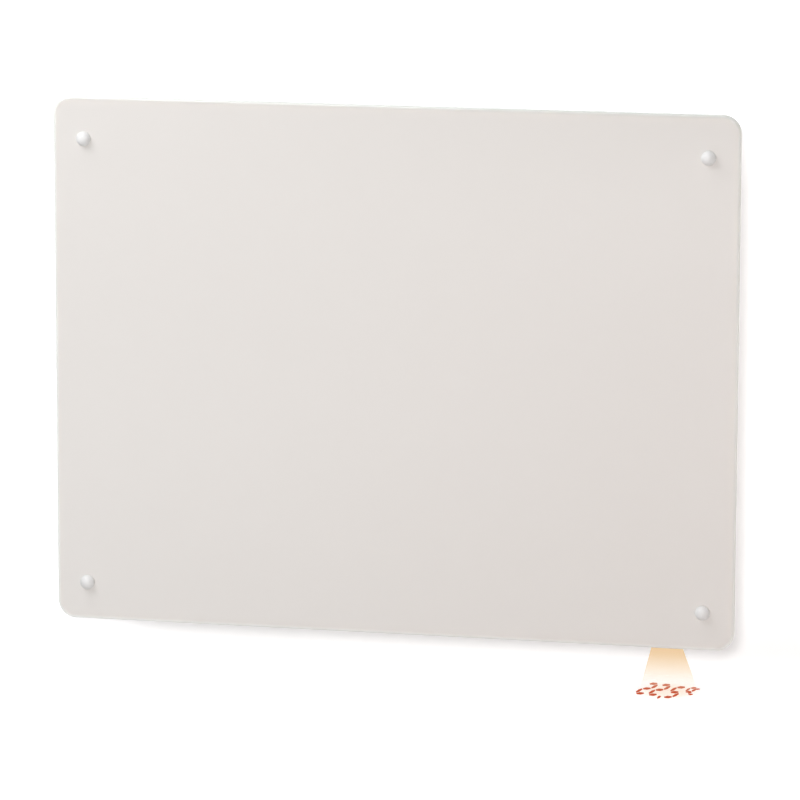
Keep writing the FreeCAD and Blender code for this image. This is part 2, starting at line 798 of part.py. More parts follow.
def keeper_plane(side):
    """X of the outer cheek's inner face, where that side's keeper swings."""
    return side * (UPRIGHT_X + UPRIGHT_WIDTH / 2 - BRACKET_SHEET)


def make_keeper(side):
    """Swing-over keeper that closes the hook's mouth, with a folded thumb tab that rests on the lip."""
    near = keeper_plane(side) - side * KEEPER_SIDE_GAP
    far = near - side * KEEPER_SHEET
    x = sorted((near, far))
    tip = KEEPER_Y - KEEPER_REACH
    arm_low = PIVOT_Z + PIN_DIAMETER / 2 + KEEPER_PIN_GAP
    tab_low = HOOK_MOUTH_Z + KEEPER_TAB_GAP
    tab_x = sorted((far, side * (UPRIGHT_X + UPRIGHT_WIDTH / 2 + KEEPER_TAB_OVERHANG)))
    pivot = V(x[0], KEEPER_Y, KEEPER_Z)
    boss = rod(pivot, pivot + AXIS_X * KEEPER_SHEET, KEEPER_BOSS)
    arm_z = (arm_low, HOOK_MOUTH_Z + KEEPER_ARM_RISE)
    arm = rounded_block(x, (tip, KEEPER_Y), arm_z, KEEPER_ARM_CORNER, AXIS_X)
    tab = block(tab_x, (tip, tip + KEEPER_TAB_LENGTH), (tab_low, tab_low + KEEPER_TAB_THICKNESS))
    pivot_hole = hole(pivot, AXIS_X, KEEPER_SHEET, KEEPER_HOLE)
    return boss.fuse([arm, tab]).cut(pivot_hole).removeSplitter()


def make_keeper_rivets():
    """Two-headed rivets in the outer cheeks: the keepers turn on them."""
    head = KEEPER_RIVET_HEAD / 2
    crown = head - KEEPER_RIVET_BEVEL
    shank = KEEPER_RIVET / 2
    grip = BRACKET_SHEET + 2 * KEEPER_SIDE_GAP + KEEPER_SHEET
    outline = [
        (0, -KEEPER_RIVET_RISE),
        (crown, -KEEPER_RIVET_RISE),
        (head, 0),
        (shank, 0),
        (shank, grip),
        (head, grip),
        (crown, grip + KEEPER_RIVET_RISE),
        (0, grip + KEEPER_RIVET_RISE),
    ]
    rivets = []
    for side in SIDES:
        outside = V(side * (UPRIGHT_X + UPRIGHT_WIDTH / 2), KEEPER_Y, KEEPER_Z)
        rivets.append(turned(outline, outside, V(-side, 0, 0)))
    return group(rivets)


def ear_spans(side):
    """X spans of a hanger's two ears."""
    inner = UPRIGHT_WIDTH / 2 + HANGER_EAR_GAP
    middle = side * UPRIGHT_X
    left = (middle - inner - HANGER_SHEET, middle - inner)
    right = (middle + inner, middle + inner + HANGER_SHEET)
    return (left, right)


def make_hanger(side):
    """Folded hanger on the rear cover: two ears that carry the pin, and a riveted tongue below."""
    left, right = ear_spans(side)
    face = REAR_Y + HANGER_SHEET
    low, high = HANGER_EAR_Z
    points = [
        V(left[1], PIVOT_Y, low),
        V(left[1], face, low),
        V(right[0], face, low),
        V(right[0], PIVOT_Y, low),
    ]
    strap = folded(points, HANGER_SHEET, AXIS_Z * (high - low))
    pieces = [block((left[1], right[0]), (REAR_Y, face), HANGER_TONGUE_Z)]
    for ear in (left, right):
        pieces.append(rod(V(ear[0], PIVOT_Y, PIVOT_Z), V(ear[1], PIVOT_Y, PIVOT_Z), HANGER_EAR_NOSE))
    cutters = [hole(V(left[0], PIVOT_Y, PIVOT_Z), AXIS_X, right[1] - left[0], PIN_DIAMETER)]
    for place in hanger_fixings(REAR_Y):
        cutters.append(hole(place, AXIS_Y, HANGER_SHEET, RIVET))
    return strap.fuse(pieces).removeSplitter().cut(cutters)


def make_hanger_pins():
    pins = []
    for side in SIDES:
        left, right = ear_spans(side)
        start = V(left[0] - PIN_OVERHANG, PIVOT_Y, PIVOT_Z)
        end = V(right[1] + PIN_OVERHANG, PIVOT_Y, PIVOT_Z)
        pin = rod(start, end, PIN_DIAMETER)
        rims = edges_at(pin, AXIS_X, start.x) + edges_at(pin, AXIS_X, end.x)
        pins.append(pin.makeChamfer(PIN_CHAMFER, rims))
    return group(pins)


def make_wall_buffers():
    """Rubber feet that keep the lower edge off the bracket."""
    radius = BUFFER_DIAMETER / 2
    length = -REAR_Y - BRACKET_SHEET - BUFFER_GAP
    outline = [
        (0, 0),
        (BUFFER_FOOT / 2, 0),
        (radius, BUFFER_FOOT_HEIGHT),
        (radius, length - BUFFER_TIP_BEVEL),
        (radius - BUFFER_TIP_BEVEL, length),
        (0, length),
    ]
    return group([turned(outline, V(side * UPRIGHT_X, REAR_Y, BUFFER_Z), AXIS_Y) for side in SIDES])


# Heating element and its supports


def make_element_fins():
    """Cross-shaped aluminium body: four wings on a core, slit into rows of fins."""
    lean = math.degrees(math.atan2(ELEMENT_REACH_Y, ELEMENT_REACH_Z))
    reach = math.hypot(ELEMENT_REACH_Y, ELEMENT_REACH_Z)
    start = V(ELEMENT_START, ELEMENT_Y, ELEMENT_Z)
    end = V(ELEMENT_END, ELEMENT_Y, ELEMENT_Z)
    slits = []
    slit_y = about(ELEMENT_Y, 2 * reach)
    slit_z = about(ELEMENT_Z, 2 * reach)
    for index in range(1, int((ELEMENT_END - ELEMENT_START) / FIN_PITCH)):
        slits.append(block(about(ELEMENT_START + index * FIN_PITCH, FIN_SLIT), slit_y, slit_z))
    wings = []
    for side in SIDES:
        wing_z = about(ELEMENT_Z, 2 * reach)
        wing = block((ELEMENT_START, ELEMENT_END), about(ELEMENT_Y, WING_THICKNESS), wing_z)
        wing = wing.makeFillet(WING_ROUND, edges_along(wing, AXIS_X))
        wing.rotate(start, AXIS_X, side * lean)
        wings.append(wing)
    cross = wings[0].fuse(wings[1]).cut(slits)
    body = rod(start, end, CORE_DIAMETER).fuse(cross.Solids)
    return body.cut(rod(start, end, SHEATH_DIAMETER + 2 * SHEATH_CLEARANCE)).removeSplitter()


def element_ends():
    """Sheath ends, each with the direction that leads away from the element."""
    left = V(ELEMENT_START - SHEATH_OVERHANG, ELEMENT_Y, ELEMENT_Z)
    right = V(ELEMENT_END + SHEATH_OVERHANG, ELEMENT_Y, ELEMENT_Z)
    return ((left, -AXIS_X), (right, AXIS_X))


def make_element_sheath():
    left_end, right_end = element_ends()
    return rod(left_end[0], right_end[0], SHEATH_DIAMETER)


def make_element_insulators():
    radius = INSULATOR_DIAMETER / 2
    outline = [(0, 0), (radius, 0), (radius, INSULATOR_RIM), (INSULATOR_TIP / 2, INSULATOR_LENGTH)]
    outline.append((0, INSULATOR_LENGTH))
    return group([turned(outline, end, outward) for end, outward in element_ends()])


def make_element_terminals():
    pins = []
    for end, outward in element_ends():
        start = end + outward * INSULATOR_LENGTH
        pins.append(rod(start, start + outward * TERMINAL_LENGTH, TERMINAL_DIAMETER))
    return group(pins)


def support_planes():
    """X planes of the two supports' near faces, each with the direction away from the element."""
    return ((ELEMENT_START - SUPPORT_DISTANCE, -1), (ELEMENT_END + SUPPORT_DISTANCE, 1))


def make_element_bushes():
    """Grooved bushes that hold the sheath in its supports."""
    bore = SHEATH_DIAMETER / 2 + SHEATH_CLEARANCE
    rim = BUSH_DIAMETER / 2
    neck = BUSH_NECK / 2
    lip = (BUSH_LENGTH - SHEET) / 2
    outline = [
        (bore, -lip),
        (rim, -lip),
        (rim, 0),
        (neck, 0),
        (neck, SHEET),
        (rim, SHEET),
        (rim, SHEET + lip),
        (bore, SHEET + lip),
    ]
    bushes = []
    for plane, away in support_planes():
        bushes.append(turned(outline, V(plane, ELEMENT_Y, ELEMENT_Z), V(away, 0, 0)))
    return group(bushes)


def support_fixings(y):
    """Fixing places on both supports' feet and heads, in one depth plane."""
    places = []
    for plane, away in support_planes():
        for level in SIDES:
            places.append(V(plane - away * SUPPORT_FOOT / 2, y, ELEMENT_Z + level * SUPPORT_FIXING_Z))
    return places


def make_element_support(index):
    """Folded support: a foot on the rear cover, a web round the bush and a head on the heat shield."""
    plane, away = support_planes()[index]
    outer = plane + away * SHEET
    end = plane - away * SUPPORT_FOOT
    low = ELEMENT_Z - SUPPORT_HALF_HEIGHT
    points = [
        V(end, COVER_INSIDE_Y, low),
        V(outer, COVER_INSIDE_Y, low),
        V(outer, SHIELD_Y, low),
        V(end, SHIELD_Y, low),
    ]
    support = folded(points, away * SHEET, AXIS_Z * (2 * SUPPORT_HALF_HEIGHT))
    cutters = [hole(V(plane, ELEMENT_Y, ELEMENT_Z), V(away, 0, 0), SHEET, BUSH_NECK)]
    for place in support_fixings(COVER_INSIDE_Y - SHEET):
        cutters.append(hole(place, AXIS_Y, SHEET, RIVET))
    for place in support_fixings(SHIELD_Y):
        cutters.append(hole(place, AXIS_Y, SHEET, SHIELD_SCREW))
    return support.cut(cutters)


def divider_fixings(y):
    """Rivet places on the divider's foot, in one depth plane."""
    x = DIVIDER_X - DIVIDER_FOOT + DIVIDER_RIVET_INSET
    return [V(x, y, level) for level in DIVIDER_RIVET_LEVELS]


def hanger_fixings(y):
    """Rivet places on both hangers' tongues, in one depth plane."""
    return [V(side * UPRIGHT_X + step, y, HANGER_RIVET_Z) for side in SIDES for step in HANGER_RIVET_STEPS]


def make_rivets(places, grip):
    """Blind rivets: a head at each place, pitted where its pin broke off, and a set end past the grip."""
    shank = RIVET / 2
    pit_floor = RIVET_PIT_DEPTH - RIVET_RISE
    outline = [
        (0, pit_floor),
        (RIVET_PIT / 2, pit_floor),
        (RIVET_PIT / 2, -RIVET_RISE),
        (RIVET_CROWN / 2, -RIVET_RISE),
        (RIVET_HEAD / 2, 0),
        (shank, 0),
        (shank, grip),
        (RIVET_SET / 2, grip),
        (RIVET_SET / 2, grip + RIVET_SET_LENGTH),
        (0, grip + RIVET_SET_LENGTH),
    ]
    return group([turned(outline, place, -AXIS_Y) for place in places])


# Heat shield, divider and overheat cut-out


def make_heat_shield():
    """Shield between element and front casing, with both long edges folded onto the casing."""
    start, end = SHIELD_SPAN
    points = [
        V(start, CASING_INSIDE_Y, SHIELD_BOTTOM),
        V(start, SHIELD_Y, SHIELD_BOTTOM),
        V(start, SHIELD_Y, SHIELD_TOP),
        V(start, CASING_INSIDE_Y, SHIELD_TOP),
    ]
    shield = folded(points, -SHIELD_SHEET, AXIS_X * (end - start))
    places = support_fixings(SHIELD_Y - SHIELD_SHEET)
    return shield.cut([hole(place, AXIS_Y, SHIELD_SHEET, SHIELD_SCREW) for place in places])


def make_shield_screws():
    screws = []
    for place in support_fixings(SHIELD_Y - SHIELD_SHEET):
        screws.append(
            screw(place, AXIS_Y, SHIELD_SCREW, SHIELD_SCREW_LENGTH, SHIELD_SCREW_HEAD, SHIELD_SCREW_RISE)
        )
    return group(screws)


def make_divider_plate():
    """Folded divider between the warm side and the control compartment, with holes for the leads."""
    bottom = -DIVIDER_HALF_HEIGHT
    points = [
        V(DIVIDER_X, CASING_INSIDE_Y, bottom),
        V(DIVIDER_X, COVER_INSIDE_Y, bottom),
        V(DIVIDER_X - DIVIDER_FOOT, COVER_INSIDE_Y, bottom),
    ]
    divider = folded(points, -SHIELD_SHEET, AXIS_Z * (2 * DIVIDER_HALF_HEIGHT))
    cutters = []
    for level in (ELEMENT_Z, CUTOUT_LEAD_Z):
        centre = V(DIVIDER_X - SHIELD_SHEET, ELEMENT_Y, level)
        cutters.append(hole(centre, AXIS_X, 2 * SHIELD_SHEET, LEAD_HOLE))
    for place in divider_fixings(COVER_INSIDE_Y - SHIELD_SHEET):
        cutters.append(hole(place, AXIS_Y, SHIELD_SHEET, RIVET))
    return divider.cut(cutters)


def make_overheat_cutout():
    """Disc cut-out on the heat shield: flange, cap, body and two blades that point down."""
    base = V(CUTOUT_X, SHIELD_Y, CUTOUT_Z)
    cap = CUTOUT_DIAMETER / 2
    body = CUTOUT_BODY / 2
    outline = [
        (0, 0),
        (cap, 0),
        (cap, CUTOUT_CAP_HEIGHT),
        (body, CUTOUT_CAP_HEIGHT),
        (body, CUTOUT_HEIGHT),
        (0, CUTOUT_HEIGHT),
    ]
    length, height, thickness = CUTOUT_FLANGE
    pieces = [slot(base + AXIS_Y * (thickness / 2), length, height, thickness, AXIS_X, AXIS_Y)]
    bend_z = CUTOUT_Z - BLADE_HALF_FOOT
    foot_y = (BLADE_BACK_Y, BLADE_BACK_Y + BLADE_THICKNESS)
    foot_z = about(CUTOUT_Z, 2 * BLADE_HALF_FOOT)
    tongue_y = (BLADE_BACK_Y, BLADE_BACK_Y + BLADE_REACH)
    tongue_z = (bend_z - BLADE_THICKNESS, bend_z)
    for x in CUTOUT_BLADES:
        wide = about(x, BLADE_WIDTH)
        pieces += [block(wide, foot_y, foot_z), block(wide, tongue_y, tongue_z)]
    return turned(outline, base, AXIS_Y).fuse(pieces).removeSplitter()


# Control housing


def board_fixings(y):
    """The four fixing places of the control board, in one depth plane."""
    inset = BOARD_FIXING_INSET
    places = []
    for x in (BOARD_X[0] + inset, BOARD_X[1] - inset):
        for z in (BOARD_Z[0] + inset, BOARD_Z[1] - inset):
            places.append(V(x, y, z))
    return places


def lid_fixings(y):
    """The four corner posts of the control housing, in one depth plane."""
    return [V(x, y, z) for x in POST_X for z in POST_Z]


def ear_fixings(y):
    """The two nut places on the control housing's ears, in one depth plane."""
    return [V(x, y, z) for x, z in (UPPER_EAR, LOWER_EAR)]


def make_housing_shell():
    """Tray of the control housing, open to the rear and to the fascia, with its wall openings."""
    wall = HOUSING_WALL
    room = casing_tray(SHEET + COVER_GAP, CASING_INSIDE_Y, CASING_CORNER - SHEET, CASING_BEND - SHEET)
    outer = rounded_block(HOUSING_X, HOUSING_Y, HOUSING_Z, HOUSING_CORNER, AXIS_Y).common(room)
    inner_x = (HOUSING_X[0] + wall, HOUSING_X[1] + wall)
    inner_y = (HOUSING_INSIDE_Y, HOUSING_Y[1] + PAST)
    inner_z = (HOUSING_Z[0] + wall, HOUSING_Z[1] - wall)
    cutters = [block(inner_x, inner_y, inner_z)]
    stud = V(STUD_X, HOUSING_Y[0], STUD_BOTTOM)
    cutters.append(hole(stud, AXIS_Y, wall, NUT_BULGE + STUD_ROOM))
    floor = (HOUSING_Z[0] - PAST, HOUSING_Z[0] + wall + PAST)
    cutters.append(projector_opening(PROJECTOR_WALL + FASCIA_GAP, floor))
    sensor = V(SENSOR_X, CONTROL_Y, HOUSING_Z[0])
    cutters.append(hole(sensor, AXIS_Z, wall, SENSOR_DIAMETER + SENSOR_FIT))
    for level in LEAD_LEVELS:
        cutters.append(hole(V(HOUSING_X[0], ELEMENT_Y, level), AXIS_X, wall, LEAD_DIAMETER + LEAD_ROOM))
    return outer.cut(cutters)


def make_control_housing():
    """Housing tray with posts for board and lid, and two ears on the casing's studs."""
    bosses = []
    pilots = []
    for place in board_fixings(HOUSING_INSIDE_Y):
        bosses.append(rod(place, V(place.x, BOARD_Y, place.z), BOARD_POST))
    for place in lid_fixings(HOUSING_INSIDE_Y):
        bosses.append(rod(place, V(place.x, HOUSING_Y[1], place.z), POST_DIAMETER))
    for place in board_fixings(BOARD_Y) + lid_fixings(HOUSING_Y[1]):
        pilots.append(rod(place, place - AXIS_Y * PILOT_DEPTH, SMALL_SCREW))
    wall_y = (HOUSING_Y[0], HOUSING_INSIDE_Y)
    for place in ear_fixings(CASING_INSIDE_Y):
        bosses.append(rod(place, V(place.x, HOUSING_INSIDE_Y, place.z), EAR_DIAMETER))
        pilots.append(hole(place, AXIS_Y, HOUSING_INSIDE_Y - CASING_INSIDE_Y, EAR_STUD))
    upper_z = (HOUSING_Z[1] - HOUSING_WALL, UPPER_EAR[1])
    lower_x = (LOWER_EAR[0], HOUSING_X[0] + HOUSING_WALL)
    bosses.append(block(about(UPPER_EAR[0], EAR_DIAMETER), wall_y, upper_z))
    bosses.append(block(lower_x, wall_y, about(LOWER_EAR[1], EAR_DIAMETER)))
    return make_housing_shell().fuse(bosses).cut(pilots).removeSplitter()


def make_control_lid():
    """Lid with a stack of vents."""
    wide = (HOUSING_X[0], LID_END_X)
    thick = (HOUSING_Y[1], HOUSING_Y[1] + LID_THICKNESS)
    lid = rounded_block(wide, thick, HOUSING_Z, HOUSING_CORNER, AXIS_Y)
    cutters = [hole(place, AXIS_Y, LID_THICKNESS, SMALL_SCREW) for place in lid_fixings(HOUSING_Y[1])]
    length, height = VENT_SIZE
    for index in range(VENTS):
        centre = V(VENT_X, HOUSING_Y[1], VENT_FIRST_Z + index * VENT_PITCH)
        cutters.append(slot(centre, length, height, 4 * LID_THICKNESS, AXIS_X, AXIS_Y))
    return lid.cut(cutters)


def make_small_screws(places, thickness):
    """Small screws driven towards the room through a part of some thickness."""
    length = thickness + SMALL_SCREW_GRIP
    screws = []
    for place in places:
        screws.append(screw(place, -AXIS_Y, SMALL_SCREW, length, SMALL_SCREW_HEAD, SMALL_SCREW_RISE))
    return group(screws)


def make_housing_nuts():
    """Hexagon nuts on the casing's welded studs, over the control housing's ears."""
    nuts = []
    for place in ear_fixings(HOUSING_INSIDE_Y):
        corners = []
        for step in range(6):
            angle = math.radians(60 * step)
            corners.append(place + V(math.cos(angle), 0, math.sin(angle)) * (EAR_NUT / 2))
        root = V(place.x, CASING_INSIDE_Y, place.z)
        stud = rod(root, place + AXIS_Y * EAR_STUD_PROUD, EAR_STUD)
        nuts.append(plate(corners, AXIS_Y * EAR_NUT_HEIGHT).fuse(stud).removeSplitter())
    return group(nuts)


# Fascia, push buttons and rocker switch


def make_control_fascia():
    """Fascia in the side flange: a lapping plate, a hollow plug and collars that guide the buttons."""
    front = rounded_block((HALF_WIDTH, FASCIA_X), FASCIA_Y, FASCIA_Z, FASCIA_CORNER, AXIS_X)
    front = front.makeFillet(FASCIA_EDGE, edges_at(front, AXIS_X, FASCIA_X))
    plug = fascia_opening(-FASCIA_GAP, (PLUG_X, HALF_WIDTH))
    plug = plug.cut(fascia_opening(-FASCIA_GAP - FASCIA_PLUG_WALL, (PLUG_X, HALF_WIDTH)))
    collars = []
    holes = []
    for level in BUTTON_LEVELS.values():
        inner = V(PLUG_X, CONTROL_Y, level)
        collars.append(rod(inner, V(HALF_WIDTH, CONTROL_Y, level), BUTTON_COLLAR))
        holes.append(hole(inner, AXIS_X, FASCIA_X - PLUG_X, BUTTON_DIAMETER + 2 * BUTTON_GAP))
    y = about(CONTROL_Y, SWITCH_BODY[0])
    z = about(SWITCH_Z, SWITCH_BODY[1])
    holes.append(block((PLUG_X - PAST, FASCIA_X + PAST), y, z))
    return front.fuse([plug] + collars).cut(holes).removeSplitter()


def make_button(level):
    """Push button: stem, retaining flange and a head with a dished top."""
    stem_end = PLUG_X - BUTTON_STEM_REACH
    flange_back = PLUG_X - BUTTON_FLANGE_BACK - stem_end
    flange_front = PLUG_X - BUTTON_GAP - stem_end
    top = FASCIA_X + BUTTON_PROUD - stem_end
    stem = BUTTON_STEM / 2
    flange = BUTTON_FLANGE / 2
    head = BUTTON_DIAMETER / 2
    outline = [
        (0, 0),
        (stem, 0),
        (stem, flange_back),
        (flange, flange_back),
        (flange, flange_front),
        (head, flange_front),
        (head, top - BUTTON_DISH),
        (head - BUTTON_DISH, top),
        (0, top - BUTTON_DISH),
    ]
    middle_radius, middle_rise = crown_middle(head - BUTTON_DISH, BUTTON_DISH)
    dish = {7: (middle_radius, top - middle_rise)}
    return turned(outline, V(stem_end, CONTROL_Y, level), AXIS_X, dish)


def rocker_pivot(stub, diameter):
    """Rod on the rocker's axis that stands out of both its sides by a stub."""
    reach = AXIS_Y * (ROCKER_WIDTH / 2 + stub)
    middle = V(ROCKER_PIVOT_X, CONTROL_Y, SWITCH_Z)
    return rod(middle - reach, middle + reach, diameter)


def make_switch_body():
    """Rocker switch body: bezel, snap-in case, rocker well, pivot holes and two blades."""
    back = FASCIA_X - SWITCH_DEPTH
    front = FASCIA_X + SWITCH_BEZEL_THICKNESS
    bezel_y = about(CONTROL_Y, SWITCH_BEZEL[0])
    bezel_z = about(SWITCH_Z, SWITCH_BEZEL[1])
    bezel = rounded_block((FASCIA_X, front), bezel_y, bezel_z, SWITCH_BEZEL_CORNER, AXIS_X)
    bezel = bezel.makeFillet(SWITCH_BEZEL_EDGE, edges_at(bezel, AXIS_X, front))
    pieces = [block((back, FASCIA_X), about(CONTROL_Y, SWITCH_BODY[0]), about(SWITCH_Z, SWITCH_BODY[1]))]
    for step in SWITCH_BLADE_STEPS:
        blade_x = (back - SWITCH_BLADE_LENGTH, back)
        pieces.append(block(blade_x, about(CONTROL_Y, BLADE_WIDTH), about(SWITCH_Z + step, BLADE_THICKNESS)))
    well_x = (ROCKER_PIVOT_X - SWITCH_WELL_DEPTH, front + PAST)
    well_y = about(CONTROL_Y, ROCKER_WIDTH + 2 * ROCKER_SIDE_GAP)
    well = block(well_x, well_y, about(SWITCH_Z, SWITCH_WELL_HEIGHT))
    pivot = rocker_pivot(ROCKER_PIVOT_STUB + FASCIA_GAP, ROCKER_PIVOT + 2 * SHEATH_CLEARANCE)
    return bezel.fuse(pieces).cut([well, pivot]).removeSplitter()


def make_switch_rocker():
    """Rocker at one end of its throw, on two stub pivots."""
    outline = [
        (ROCKER_HORN, -ROCKER_HALF),
        (ROCKER_WAIST, 0),
        (ROCKER_HORN, ROCKER_HALF),
        (ROCKER_SHOULDER, ROCKER_HALF),
        (-ROCKER_KEEL, ROCKER_KEEL_HALF),
        (-ROCKER_KEEL, -ROCKER_KEEL_HALF),
        (ROCKER_SHOULDER, -ROCKER_HALF),
    ]
    low_y = CONTROL_Y - ROCKER_WIDTH / 2
    corners = [V(ROCKER_PIVOT_X + out, low_y, SWITCH_Z + along) for out, along in outline]
    rocker = plate(corners, AXIS_Y * ROCKER_WIDTH)
    rocker = rocker.makeFillet(ROCKER_ROUND, edges_along(rocker, AXIS_Y))
    rocker = rocker.fuse(rocker_pivot(ROCKER_PIVOT_STUB, ROCKER_PIVOT)).removeSplitter()
    rocker.rotate(V(ROCKER_PIVOT_X, CONTROL_Y, SWITCH_Z), AXIS_Y, ROCKER_TILT)
    return rocker


# Control board and what stands on it


def make_control_board():
    board = block(BOARD_X, (BOARD_Y, BOARD_Y + BOARD_THICKNESS), BOARD_Z)
    return board.cut([hole(place, AXIS_Y, BOARD_THICKNESS, SMALL_SCREW) for place in board_fixings(BOARD_Y)])


def make_board_connectors():
    blocks = []
    height, width = CONNECTOR_SIZE
    for level in LEAD_LEVELS:
        body = block(CONNECTOR_X, (BOARD_Y - height, BOARD_Y), about(level, width))
        entry = V(CONNECTOR_X[0], ELEMENT_Y, level)
        blocks.append(body.cut(rod(entry, entry + AXIS_X * LEAD_ENTRY, LEAD_DIAMETER)))
    return group(blocks)


def make_power_relay():
    return rounded_block(TALL_PARTS_X, (BOARD_Y - RELAY_HEIGHT, BOARD_Y), RELAY_Z, RELAY_CORNER, AXIS_Y)


def make_supply_transformer():
    """Small moulded transformer: a bobbin block between two core halves."""
    low, high = CORE_HEIGHTS
    margin_x, margin_z = BOBBIN_MARGIN
    bobbin_x = (TALL_PARTS_X[0] + margin_x, TALL_PARTS_X[1] - margin_x)
    bobbin_z = (CORE_Z[0] - margin_z, CORE_Z[1] + margin_z)
    core = block(TALL_PARTS_X, (BOARD_Y - high, BOARD_Y - low), CORE_Z)
    bobbin = block(bobbin_x, (BOARD_Y - BOBBIN_HEIGHT, BOARD_Y), bobbin_z)
    return core.fuse(bobbin).removeSplitter()


def make_board_capacitor():
    """Can capacitor with the groove above its base."""
    radius = CAPACITOR_DIAMETER / 2
    low, high = CAPACITOR_GROOVE
    outline = [
        (0, 0),
        (radius, 0),
        (radius, low),
        (radius - CAPACITOR_GROOVE_DEPTH, (low + high) / 2),
        (radius, high),
        (radius, CAPACITOR_HEIGHT - CAPACITOR_BEVEL),
        (radius - CAPACITOR_BEVEL, CAPACITOR_HEIGHT),
        (0, CAPACITOR_HEIGHT),
    ]
    x, z = CAPACITOR_PLACE
    return turned(outline, V(x, BOARD_Y, z), -AXIS_Y)


def make_button_board():
    x = (BUTTON_BOARD_X, BUTTON_BOARD_X + BUTTON_BOARD_THICKNESS)
    return block(x, (HOUSING_INSIDE_Y, BUTTON_BOARD_END_Y), BUTTON_BOARD_Z)


def make_tact_switches():
    """Square tact switches with round plungers, one behind each button."""
    start = BUTTON_BOARD_X + BUTTON_BOARD_THICKNESS
    switches = []
    for level in BUTTON_LEVELS.values():
        foot = V(start, CONTROL_Y, level)
        body = block((start, start + TACT_HEIGHT), about(CONTROL_Y, TACT_SIZE), about(level, TACT_SIZE))
        plunger = rod(foot, foot + AXIS_X * TACT_PLUNGER_HEIGHT, TACT_PLUNGER)
        switches.append(body.fuse(plunger).removeSplitter())
    return group(switches)


# Temperature projector and room sensor


def window_block(growth, z):
    """Square-cornered block of the projector window's size, grown by a margin all round."""
    x = about(PROJECTOR_X, PROJECTOR_WINDOW[0] + 2 * growth)
    y = about(CONTROL_Y, PROJECTOR_WINDOW[1] + 2 * growth)
    return block(x, y, z)


def make_projector_barrel():
    """Light barrel with a bezel that laps under the casing's bottom flange."""
    bezel_z = (-HALF_HEIGHT - PROJECTOR_BEZEL_THICKNESS, -HALF_HEIGHT)
    bezel = projector_opening(PROJECTOR_WALL + PROJECTOR_BEZEL, bezel_z)
    bezel = bezel.makeFillet(PROJECTOR_BEZEL_EDGE, edges_at(bezel, AXIS_Z, bezel_z[0]))
    tube = projector_opening(PROJECTOR_WALL, (bezel_z[1], PROJECTOR_TOP))
    bore = window_block(0, (bezel_z[0] - PAST, PROJECTOR_TOP + PAST))
    return bezel.fuse(tube).cut(bore).removeSplitter()


def make_projector_lens():
    """Window lens: flat below, bowed above."""
    bottom = -HALF_HEIGHT - PROJECTOR_BEZEL_THICKNESS + LENS_RECESS
    crest = bottom + LENS_HEIGHT
    bow_axis = V(PROJECTOR_X, CONTROL_Y - PROJECTOR_WINDOW[1], crest - LENS_BOW)
    bow = rod(bow_axis, bow_axis + AXIS_Y * (2 * PROJECTOR_WINDOW[1]), 2 * LENS_BOW)
    return window_block(-WINDOW_FIT / 2, (bottom, crest + PAST)).common(bow)


def make_projector_slide():
    return window_block(-WINDOW_FIT / 2, SLIDE_Z)


def make_projector_lamp():
    """Lamp board on the barrel's top, with a domed emitter that looks down into it."""
    board = window_block(PROJECTOR_WALL, (PROJECTOR_TOP, PROJECTOR_TOP + LAMP_BOARD))
    radius = EMITTER_DIAMETER / 2
    outline = [(0, 0), (radius, 0), (radius, radius), (0, 2 * radius)]
    middle_radius, middle_rise = crown_middle(radius, radius)
    dome = {2: (middle_radius, radius + middle_rise)}
    emitter = turned(outline, V(PROJECTOR_X, CONTROL_Y, PROJECTOR_TOP), -AXIS_Z, dome)
    return board.fuse(emitter).removeSplitter()


def make_room_sensor():
    """Air-temperature probe with a domed tip below the casing and a flange on the housing floor."""
    tip = -HALF_HEIGHT - SENSOR_DROP
    seat = HOUSING_Z[0] + HOUSING_WALL - tip
    radius = SENSOR_DIAMETER / 2
    flange = SENSOR_FLANGE / 2
    outline = [
        (0, 0),
        (radius, radius),
        (radius, seat),
        (flange, seat),
        (flange, seat + SENSOR_FLANGE_THICKNESS),
        (0, seat + SENSOR_FLANGE_THICKNESS),
    ]
    middle_radius, middle_rise = crown_middle(radius, radius)
    return turned(outline, V(SENSOR_X, CONTROL_Y, tip), AXIS_Z, {0: (middle_radius, radius - middle_rise)})


# Cord inlet, terminal block, earth stud and inner leads


def make_cord_grommet():
    """Cord inlet: a flanged rubber grommet snapped into the bottom flange."""
    bore = GROMMET_BORE / 2
    neck = GROMMET_NECK / 2
    flange = GROMMET_FLANGE / 2
    snap = GROMMET_SNAP / 2
    top = SHEET + GROMMET_SNAP_HEIGHT
    outline = [
        (bore, -GROMMET_DROP),
        (flange - GROMMET_BEVEL, -GROMMET_DROP),
        (flange, -GROMMET_RIM),
        (flange, 0),
        (neck, 0),
        (neck, SHEET),
        (snap, SHEET),
        (snap - GROMMET_RIM, top),
        (bore, top),
    ]
    return turned(outline, bottom_place(GROMMET_X), AXIS_Z)


def terminal_poles():
    """X of the three poles: earth, neutral, live."""
    return [GROMMET_X + step for step in (-TERMINAL_PITCH, 0, TERMINAL_PITCH)]


